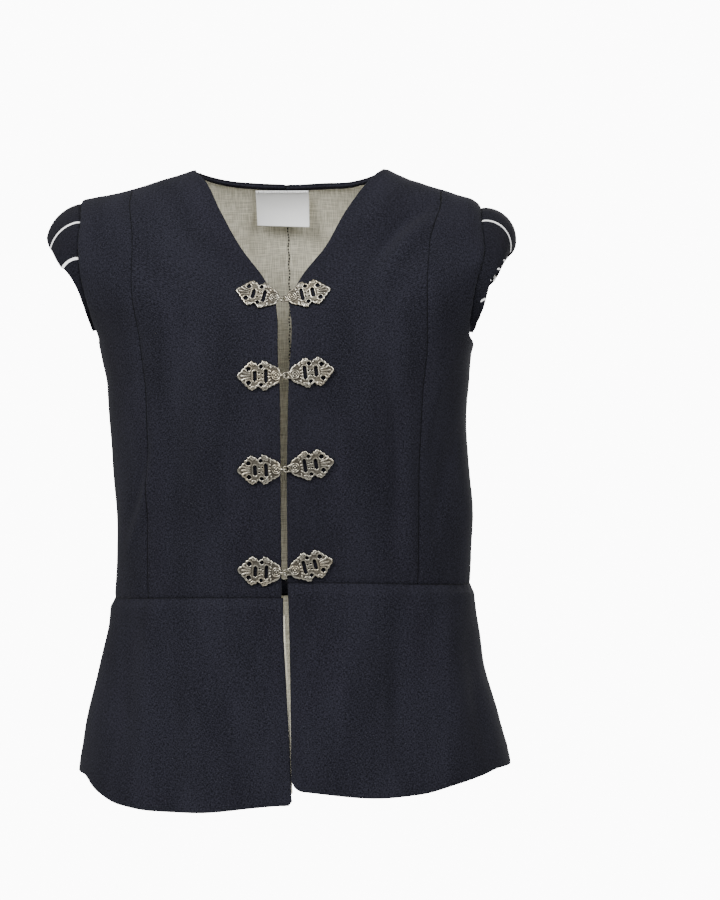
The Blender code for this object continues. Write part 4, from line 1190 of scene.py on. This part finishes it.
def cast_half(kind, silver):
    """One whole half of a clasp, lying flat: its parts are joined and cast into one skin."""
    with_loop = kind == "eye"
    pieces = [plate_piece(with_loop), wire_piece("rims", rim_lines(with_loop), RIM_WIRE)]
    pieces += [rib_piece(rib) for rib in TIP_RIBS + HOLE_RIBS + SHOULDER_RIBS + BOSS_RIBS]
    pieces += boss_pieces()
    if with_loop:
        radius = 0.5 * LOOP_HOLE.wide + LOOP_RIM
        pieces.append(ring_piece(radius, LOOP_WIRE, LOOP_HOLE.along, PLATE_THICKNESS))
    choose(*pieces)
    bpy.ops.object.join()
    half = bpy.context.active_object
    half.name = "cast_" + kind
    cast = half.modifiers.new("Cast", "REMESH")
    cast.mode = "VOXEL"
    cast.voxel_size = CAST_GRAIN * MM
    bpy.ops.object.modifier_apply(modifier=cast.name)
    bpy.ops.object.transform_apply(location=True, rotation=True, scale=True)
    half.data.shade_smooth()
    mark(half.data, "raised", standing_out(half.data))
    half.data.materials.clear()
    half.data.materials.append(silver)
    return half


def hook_wire(silver):
    route = [(bend.along, 0.0, bend.off) for bend in HOOK_BENDS]
    wire = wire_piece("hook_wire", [route], HOOK_WIRE, closed=False)
    smooth = wire.modifiers.new("Round", "SUBSURF")
    smooth.levels = smooth.render_levels = 1
    bpy.ops.object.modifier_apply(modifier=smooth.name)
    wire.data.shade_smooth()
    mark(wire.data, "raised", np.full(len(wire.data.vertices), WIRE_BRIGHTNESS))
    wire.data.materials.append(silver)
    return wire


def placed(master, name, place):
    """A copy of a shape with its place in its own mesh."""
    mesh = master.data.copy()
    mesh.name = name
    mesh.transform(place)
    return added(name, mesh)


def clasps(silver):
    masters = {RIGHT: cast_half("hook", silver), LEFT: cast_half("eye", silver)}
    wire = hook_wire(silver)
    for number, clasp in enumerate(CLASPS, start=1):
        for side, kind in ((RIGHT, "hook"), (LEFT, "eye")):
            seat = clasp_frame(side, clasp)
            piece = placed(masters[side], f"cast_clasp_{number}_{kind}", seat)
            belongs(piece, "aged_silver", f"clasp_{number}_{kind}")
            if side == RIGHT:
                level = seat @ Matrix.Rotation(math.radians(clasp.hook_tilt), 4, "Z")
                belongs(placed(wire, f"hook_wire_{number}", level), "aged_silver")
    for master in (*masters.values(), wire):
        bpy.data.objects.remove(master)


# Finishes

NOISE_ROUGHNESS = 0.55


class Value:
    """A number or colour that changes over a surface. Arithmetic on it adds Math nodes to its look."""

    def __init__(self, look, socket):
        self.look = look
        self.socket = socket

    def math(self, operation, first, second=0.0):
        return self.look.node("Math", {"operation": operation}, {0: first, 1: second})

    def __add__(self, other):
        return self.math("ADD", self, other)

    def __sub__(self, other):
        return self.math("SUBTRACT", self, other)

    def __rsub__(self, other):
        return self.math("SUBTRACT", other, self)

    def __mul__(self, other):
        return self.math("MULTIPLY", self, other)

    def __lt__(self, other):
        return self.math("LESS_THAN", self, other)

    def sine(self):
        return self.math("SINE", self)

    def step(self, start, end):
        """Goes from 0 at the start to 1 at the end."""
        settings = {"interpolation_type": "SMOOTHSTEP", "clamp": True}
        return self.look.node("MapRange", settings, {0: self, 1: start, 2: end, 3: 0.0, 4: 1.0})


class Look:
    """A finish: a material whose nodes are added by its methods."""

    def __init__(self, name, **constants):
        self.material = bpy.data.materials.new(name)
        self.material.use_nodes = True
        self.tree = self.material.node_tree
        self.shader = self.tree.nodes["Principled BSDF"]
        for socket, value in constants.items():
            self.shader.inputs[socket.replace("_", " ")].default_value = value

    def node(self, kind, settings=None, inputs=None, output=0):
        made = self.tree.nodes.new("ShaderNode" + kind)
        for setting, value in (settings or {}).items():
            setattr(made, setting, value)
        for key, value in (inputs or {}).items():
            if isinstance(value, Value):
                self.tree.links.new(value.socket, made.inputs[key])
            else:
                made.inputs[key].default_value = value
        return Value(self, made.outputs[output])

    def cloth_place(self):
        """Place on the cloth as it lay flat, in metres."""
        return self.node("TexCoord", output="UV")

    def value_at(self, name):
        """What the mesh says at each point of the surface."""
        return self.node("Attribute", {"attribute_name": name}, output="Fac")

    def noise(self, place, grain, detail=2.0, shift=0.0):
        """Noise whose grain is so many cells a metre across and up."""
        inputs = {"Vector": place, "Location": (shift, shift, shift), "Scale": grain}
        inputs = {"Vector": self.node("Mapping", {}, inputs), "Scale": 1.0, "Detail": detail}
        return self.node("TexNoise", {}, {**inputs, "Roughness": NOISE_ROUGHNESS})

    def mixed(self, factor, first, second):
        """Goes from the first colour to the second."""
        first, second = (value if isinstance(value, Value) else (*value, 1.0) for value in (first, second))
        return self.node("Mix", {"data_type": "RGBA"}, {0: factor, 6: first, 7: second}, output=2)

    def relief(self, height, strength, distance):
        return self.node("Bump", {}, {"Height": height, "Strength": strength, "Distance": distance * MM})

    def wear(self, **varying):
        """Links what changes over the surface to the shader."""
        for socket, value in varying.items():
            self.tree.links.new(value.socket, self.shader.inputs[socket.replace("_", " ")])
        return self.material


# Width of the threads of the wool, the linen and the label, and how unevenly they run
WOOL_THREAD = 1.0
LINEN_THREAD = 0.8
TAPE_THREAD = 0.35
WEAVE_UNEVEN = (230, 230, 1)
WEAVE_SWAY = 3.0
# How strongly a cloth's threads differ in shade, and how much its shade drifts from place to place
THREAD_CONTRAST = 2.4
WOOL_DRIFT = 0.8
LINEN_DRIFT = 0.35
# Shades of the wool of the body and of the wings, and how much its pale fibres show
Wool = namedtuple("Wool", "dark light fleck flecks")
BODY_WOOL = Wool((0.0016, 0.0016, 0.0032), (0.0128, 0.0128, 0.0194), (0.038, 0.038, 0.045), 0.7)
WING_WOOL = Wool((0.0013, 0.0013, 0.0026), (0.0086, 0.0086, 0.0130), (0.02, 0.02, 0.025), 0.4)
FLECK_EDGES = (0.64, 0.8)
# Painted shade in the seams' grooves: its near-black colour, where it starts and ends on the sewn mark, and
# how much of it is laid over the wool
PAINTED_SEAM_SHADE = (0.0004, 0.0004, 0.0006)
PAINTED_SEAM_SHADE_EDGES = (0.2, 0.75)
PAINTED_SEAM_SHADE_SHARE = 0.94
STRIPE_SHADES = ((0.62, 0.62, 0.62), (0.88, 0.88, 0.87))
LINEN_SHADES = ((0.53, 0.50, 0.385), (0.90, 0.86, 0.71))
SLUB_SHADE = (0.38, 0.35, 0.27)
SLUB_EDGES = (0.62, 0.75)
SLUB_STRENGTH = 0.5
LABEL_SHADES = ((0.84, 0.845, 0.84), (0.93, 0.93, 0.92))
SILVER_SHADES = ((0.29, 0.275, 0.23), (0.345, 0.305, 0.23))
SILVER_EDGES = (0.4, 0.7)
RECESS_SHADE = (0.05, 0.043, 0.034)
RECESS_EDGES = (0.1, 0.85)
THREAD_SHADES = ((0.008, 0.007, 0.008), (0.02, 0.018, 0.018))
FLOOR_SHADES = ((0.74, 0.74, 0.74), (0.77, 0.77, 0.77))


def woven(look, place, thread):
    """Height of a plain weave of threads of one width, a little uneven."""
    uneven = look.noise(place, WEAVE_UNEVEN, 1.0)
    apart = look.node("SeparateXYZ", {}, {0: place})
    rise = look.node("SeparateXYZ", {}, {0: place}, output="Y")
    turn = math.pi / (thread * MM)
    sway = (uneven - 0.5) * WEAVE_SWAY
    return (apart * turn + sway).sine() * (rise * turn + sway).sine()


def thread_shade(warp, weft, slow, drift):
    """From 0 on a cloth's darkest threads to 1 on its lightest."""
    return ((warp + weft - 1.0) * THREAD_CONTRAST + 0.5 + (slow - 0.5) * drift).step(0.0, 1.0)


def wool(name, shades):
    """Matt wool: threads of slightly different shades both ways, with pale fibres among them."""
    look = Look(name, Roughness=0.95, Specular_IOR_Level=0.1, Sheen_Weight=0.02, Sheen_Roughness=0.5)
    place = look.cloth_place()
    warp = look.noise(place, (1500, 480, 1), 2.0)
    weft = look.noise(place, (480, 1500, 1), 2.0, shift=7.0)
    slow = look.noise(place, (24, 7, 1), 3.0)
    speck = look.noise(place, (900, 900, 1), 1.0, shift=3.0)
    colour = look.mixed(thread_shade(warp, weft, slow, WOOL_DRIFT), shades.dark, shades.light)
    colour = look.mixed(speck.step(*FLECK_EDGES) * shades.flecks, colour, shades.fleck)
    # Painted shade of the seam's groove, darkening the wool along its sewn edges
    colour = look.mixed(look.value_at("sewn").step(*PAINTED_SEAM_SHADE_EDGES) * PAINTED_SEAM_SHADE_SHARE, colour, PAINTED_SEAM_SHADE)
    height = woven(look, place, WOOL_THREAD) * 0.3 + (warp + weft) * 0.7 + speck * 0.3
    return look, place, colour, look.relief(height, 0.45, 0.25)


def navy_wool():
    look, _, colour, relief = wool("navy_wool", BODY_WOOL)
    return look.wear(Base_Color=colour, Normal=relief)


def striped_wool():
    """Smoother navy wool with white stripes that run out from the wing's seam."""
    look, place, colour, relief = wool("striped_wool", WING_WOOL)
    ragged = (look.noise(place, (700, 700, 1), 1.0) - 0.5) * (STRIPE_RAGGED * MM)
    white = look.value_at("stripe") + ragged < 0.5 * STRIPE * MM
    thread = look.mixed(look.noise(place, (300, 900, 1)), *STRIPE_SHADES)
    return look.wear(Base_Color=look.mixed(white, colour, thread), Normal=relief)


def linen():
    """Unbleached linen with slubs both ways."""
    look = Look("linen", Roughness=0.88, Specular_IOR_Level=0.25)
    place = look.cloth_place()
    warp = look.noise(place, (1100, 60, 1), 3.0)
    weft = look.noise(place, (60, 1100, 1), 3.0, shift=5.0)
    slub = look.noise(place, (30, 700, 1), 2.0, shift=2.0)
    slow = look.noise(place, (11, 11, 1), 3.0)
    colour = look.mixed(thread_shade(warp, weft, slow, LINEN_DRIFT), *LINEN_SHADES)
    colour = look.mixed(slub.step(*SLUB_EDGES) * SLUB_STRENGTH, colour, SLUB_SHADE)
    height = woven(look, place, LINEN_THREAD) * 0.3 + (warp + weft) * 0.9 + slub * 0.4
    return look.wear(Base_Color=colour, Normal=look.relief(height, 0.6, 0.3))


def tape():
    """The label's close white weave, left bare."""
    look = Look("label_weave", Roughness=0.6, Specular_IOR_Level=0.3)
    place = look.cloth_place()
    grain = look.noise(place, (400, 2200, 1), 2.0)
    relief = look.relief(woven(look, place, TAPE_THREAD) + grain, 0.3, 0.12)
    return look.wear(Base_Color=look.mixed(grain, *LABEL_SHADES), Normal=relief)


def aged_silver():
    """Cast silver colour, bright where it is rubbed and dark in its recesses."""
    look = Look("aged_silver", Metallic=1.0)
    place = look.node("TexCoord", output="Object")
    grime = look.noise(place, (420, 420, 420), 3.0)
    warm = look.noise(place, (60, 60, 60), 2.0)
    grain = look.noise(place, (1500, 1500, 1500), 3.0)
    bright = (look.value_at("raised") + (grime - 0.5) * 0.5).step(*RECESS_EDGES)
    metal = look.mixed(warm.step(*SILVER_EDGES), *SILVER_SHADES)
    rough = 0.5 - bright * 0.2 + (grain - 0.5) * 0.12
    return look.wear(Base_Color=look.mixed(bright, RECESS_SHADE, metal), Roughness=rough,
                     Normal=look.relief(grain + grime, 0.25, 0.1))


def plain(name, roughness, grain, detail, shades):
    """A finish that only drifts from one shade to another."""
    look = Look(name, Roughness=roughness)
    place = look.node("TexCoord", output="Object")
    return look.wear(Base_Color=look.mixed(look.noise(place, (grain, grain, grain), detail), *shades))


# White stripes of each wing, by their drop at the armhole, and short ones on its turned front edge
STRIPE = 2.4
STRIPE_RAGGED = 0.4
NO_STRIPE = 50.0
Stripe = namedtuple("Stripe", "face drop")
STRIPES = {
    RIGHT: [Stripe(FRONT, 55), Stripe(FRONT, 89.5), Stripe(BACK, 55), Stripe(BACK, 88), Stripe(BACK, 120)],
    LEFT: [Stripe(FRONT, 54.7), Stripe(BACK, 52), Stripe(BACK, 86), Stripe(BACK, 119)],
}
Dash = namedtuple("Dash", "across up long wide slope")
DASHES = {
    RIGHT: [Dash(-185.6, -142, 0.5, 2.2, 0), Dash(-182.5, -155.5, 2.6, 2.0, 0)],
    LEFT: [
        Dash(205.2, -91.0, 4.2, 1.6, 0.35),
        Dash(200.2, -100.2, 4.4, 1.7, 0.3),
        Dash(194.4, -110.4, 3.6, 1.5, 0.4),
        Dash(185.4, -129.2, 3.2, 1.8, 0.5),
    ],
}


def bodice():
    navy = navy_wool()
    lining = linen()
    for side, name in SIDES.items():
        centre = with_pulls(front_centre_grid(side), {"outer": SEAM_PULL, "foot": WAIST_PULL})
        cloth("wool_front_centre_" + name, centre, CLOTH, navy, "navy_cloth", "front_centre_" + name,
              ("outer", "foot", "head"))
        beside = front_side_grid(side, fine_levels(FRONT_TOP))
        beside = with_pulls(beside, {"inner": SEAM_PULL, "outer": ARMHOLE_PULL, "foot": WAIST_PULL})
        cloth("wool_front_side_" + name, beside, CLOTH, navy, "navy_cloth", "front_side_" + name,
              ("inner", "outer", "foot", "head"))
        back = with_pulls(back_grid(side, fine_levels(BACK_TOP), BACK_FINE),
                          {"inner": SEAM_PULL, "outer": ARMHOLE_PULL, "foot": WAIST_PULL})
        cloth("wool_back_" + name, back, CLOTH, navy, "navy_cloth", "back_" + name,
              ("inner", "outer", "foot"))
        inside = moved_in(back_grid(side, fine_levels(BACK_TOP, LINING_ROWS), LINING_COLUMNS),
                          LINING_GAP + LINING)
        inside = trimmed(inside, LINING_WAIST_TRIM, LINING_NECK_TRIM)
        cloth("linen_back_" + name, inside, LINING, lining, "linen_lining", "lining_back_" + name)
        if side == RIGHT:
            seam = inside[:, 0]
            normals = -grid_normals(inside)[:, 0]
    line = seam + MM * np.array([0.5 * SEAM, 0.0, 0.0])
    dark_thread = plain("dark_thread", 0.7, 900, 1.0, THREAD_SHADES)
    stitches("centre_back_stitches", line[::-1], normals[::-1], BACK_SEWING, dark_thread, "navy_cloth")
    return navy, lining


def skirts(navy, lining):
    seams = {"head": HEM_PULL, "foot": WAIST_PULL, "outer": SEAM_PULL}
    for side, name in SIDES.items():
        grid = skirt_front_grid(side)
        cloth("wool_skirt_front_" + name, with_pulls(grid, seams), CLOTH, navy, "navy_cloth",
              "skirt_front_" + name, ("outer", "foot"))
        if side == RIGHT:
            skirt_lining("right", grid, lining)
    grid = skirt_back_grid()
    ends = {"head": HEM_PULL, "foot": WAIST_PULL, "inner": SEAM_PULL, "outer": SEAM_PULL}
    cloth("wool_skirt_back", with_pulls(grid, ends), CLOTH, navy, "navy_cloth", "skirt_back",
          ("inner", "outer", "foot"))
    skirt_lining("back", grid, lining)


def skirt_lining(name, grid, lining):
    points = moved_in(grid, LINING_GAP + LINING)[SKIRT_LINING_START::2, ::2][:-1]
    if name == "right":
        points[:, 0] += MM * LINING_SHOWS * unit(points[:, 0] - points[:, 1])
    cloth("linen_skirt_" + name, points, LINING, lining, "linen_lining", "lining_skirt_" + name)


def wings():
    striped = striped_wool()
    for side, name in SIDES.items():
        grid = with_pulls(wing_grid(side), {"inner": ARMHOLE_PULL})
        cloth("striped_wing_" + name, grid, WING_CLOTH, striped, "wing_cloth", "wing_" + name, ("inner",),
              stripe_reach(grid, STRIPES[side], DASHES[side]))


def neck(navy):
    edges = []
    for side in SIDES:
        points = back_grid(side, fine_levels(BACK_TOP), BACK_FINE)
        points = moved_in(points, 2 * LINING_GAP + LINING + TRIM)[-NECK_ROWS:, :sum(BACK_FINE[:2])]
        edges.append(points[:, ::-1] if side == RIGHT else points)
    points = np.concatenate(edges, axis=1)
    down = unit(points[0] - points[-1])
    depths = MM * np.linspace(BINDING_DEPTH, BINDING_TOP, BINDING_ROWS)
    strip = points[-1][None] + down[None] * depths[:, None, None]
    out = grid_normals(points)[-1]
    over = [strip[-1] + MM * (reach * out - rise * down) for reach, rise in BINDING_TURN]
    strip = np.concatenate([strip, np.array(over)])
    cloth("wool_neck_binding", strip, TRIM, navy, "navy_cloth", "neck_binding")


def neck_label():
    grid = label_grid()
    white = tape()
    cloth("woven_label", grid, 0.5 * TRIM, white, "label_tape", "label")
    stitches("label_stitches", grid[1], -grid_normals(grid)[1], LABEL_SEWING, white, "label_tape")


# Camera and lights, in metres; the image is 720 by 900
CAMERA_DISTANCE = 2.3
CAMERA_TURN = 3.0
CAMERA_HEIGHT = -0.2706
SENSOR = 36.0
IMAGE_HEIGHT = 900
FOCAL_PIXELS = 2371
SHIFT_PIXELS = 70
FLOOR_HEIGHT = -1.5
LIT = (0.0, 0.0, -0.3)
FLOOR_SIZE = 5.0
# Strength of the light from all round, and of the white that is seen behind the doublet
SURROUND = 0.3
BACKDROP = 14.0
LIGHTS = [
    ("key", (-1.5, -1.9, 1.4), 1.3, 162.0),
    ("fill", (1.5, -2.0, 1.0), 1.4, 94.0),
    ("back", (0.9, 2.4, 0.6), 1.4, 46.0),
]


def white_backdrop(tree):
    """Shows the surround white behind the doublet, brighter than the light that it gives."""
    output = tree.nodes["World Output"]
    backdrop = tree.nodes.new("ShaderNodeBackground")
    backdrop.inputs["Strength"].default_value = BACKDROP
    seen = tree.nodes.new("ShaderNodeLightPath")
    chosen = tree.nodes.new("ShaderNodeMixShader")
    tree.links.new(seen.outputs["Is Camera Ray"], chosen.inputs[0])
    tree.links.new(tree.nodes["Background"].outputs[0], chosen.inputs[1])
    tree.links.new(backdrop.outputs[0], chosen.inputs[2])
    tree.links.new(chosen.outputs[0], output.inputs["Surface"])


def studio():
    bpy.ops.mesh.primitive_plane_add(size=FLOOR_SIZE, location=(0.0, 0.0, FLOOR_HEIGHT))
    floor = bpy.context.active_object
    floor.name = "floor"
    floor.data.materials.append(plain("pale_floor", 0.95, 3, 2.0, FLOOR_SHADES))
    world = bpy.context.scene.world or bpy.data.worlds.new("studio")
    bpy.context.scene.world = world
    world.use_nodes = True
    world.node_tree.nodes["Background"].inputs["Color"].default_value = (1.0, 1.0, 1.0, 1.0)
    world.node_tree.nodes["Background"].inputs["Strength"].default_value = SURROUND
    white_backdrop(world.node_tree)
    for name, place, size, power in LIGHTS:
        lamp = bpy.data.lights.new(name, "AREA")
        lamp.size = size
        lamp.energy = power
        holder = added(name, lamp)
        holder.location = place
        holder.rotation_euler = (Vector(LIT) - Vector(place)).to_track_quat("-Z", "Y").to_euler()


def camera():
    """Level with the chest and a little to the wearer's left, with the doublet left of the middle."""
    view = bpy.data.cameras.new("camera")
    view.sensor_width = SENSOR
    view.lens = SENSOR * FOCAL_PIXELS / IMAGE_HEIGHT
    view.shift_x = SHIFT_PIXELS / IMAGE_HEIGHT
    turn = math.radians(CAMERA_TURN)
    holder = added("camera", view)
    holder.location = (CAMERA_DISTANCE * math.sin(turn), -CAMERA_DISTANCE * math.cos(turn), CAMERA_HEIGHT)
    holder.rotation_euler = (math.radians(90), 0.0, turn)
    bpy.context.scene.camera = holder


camera()
studio()
navy_look, linen_look = bodice()
skirts(navy_look, linen_look)
wings()
neck(navy_look)
neck_label()
clasps(aged_silver())
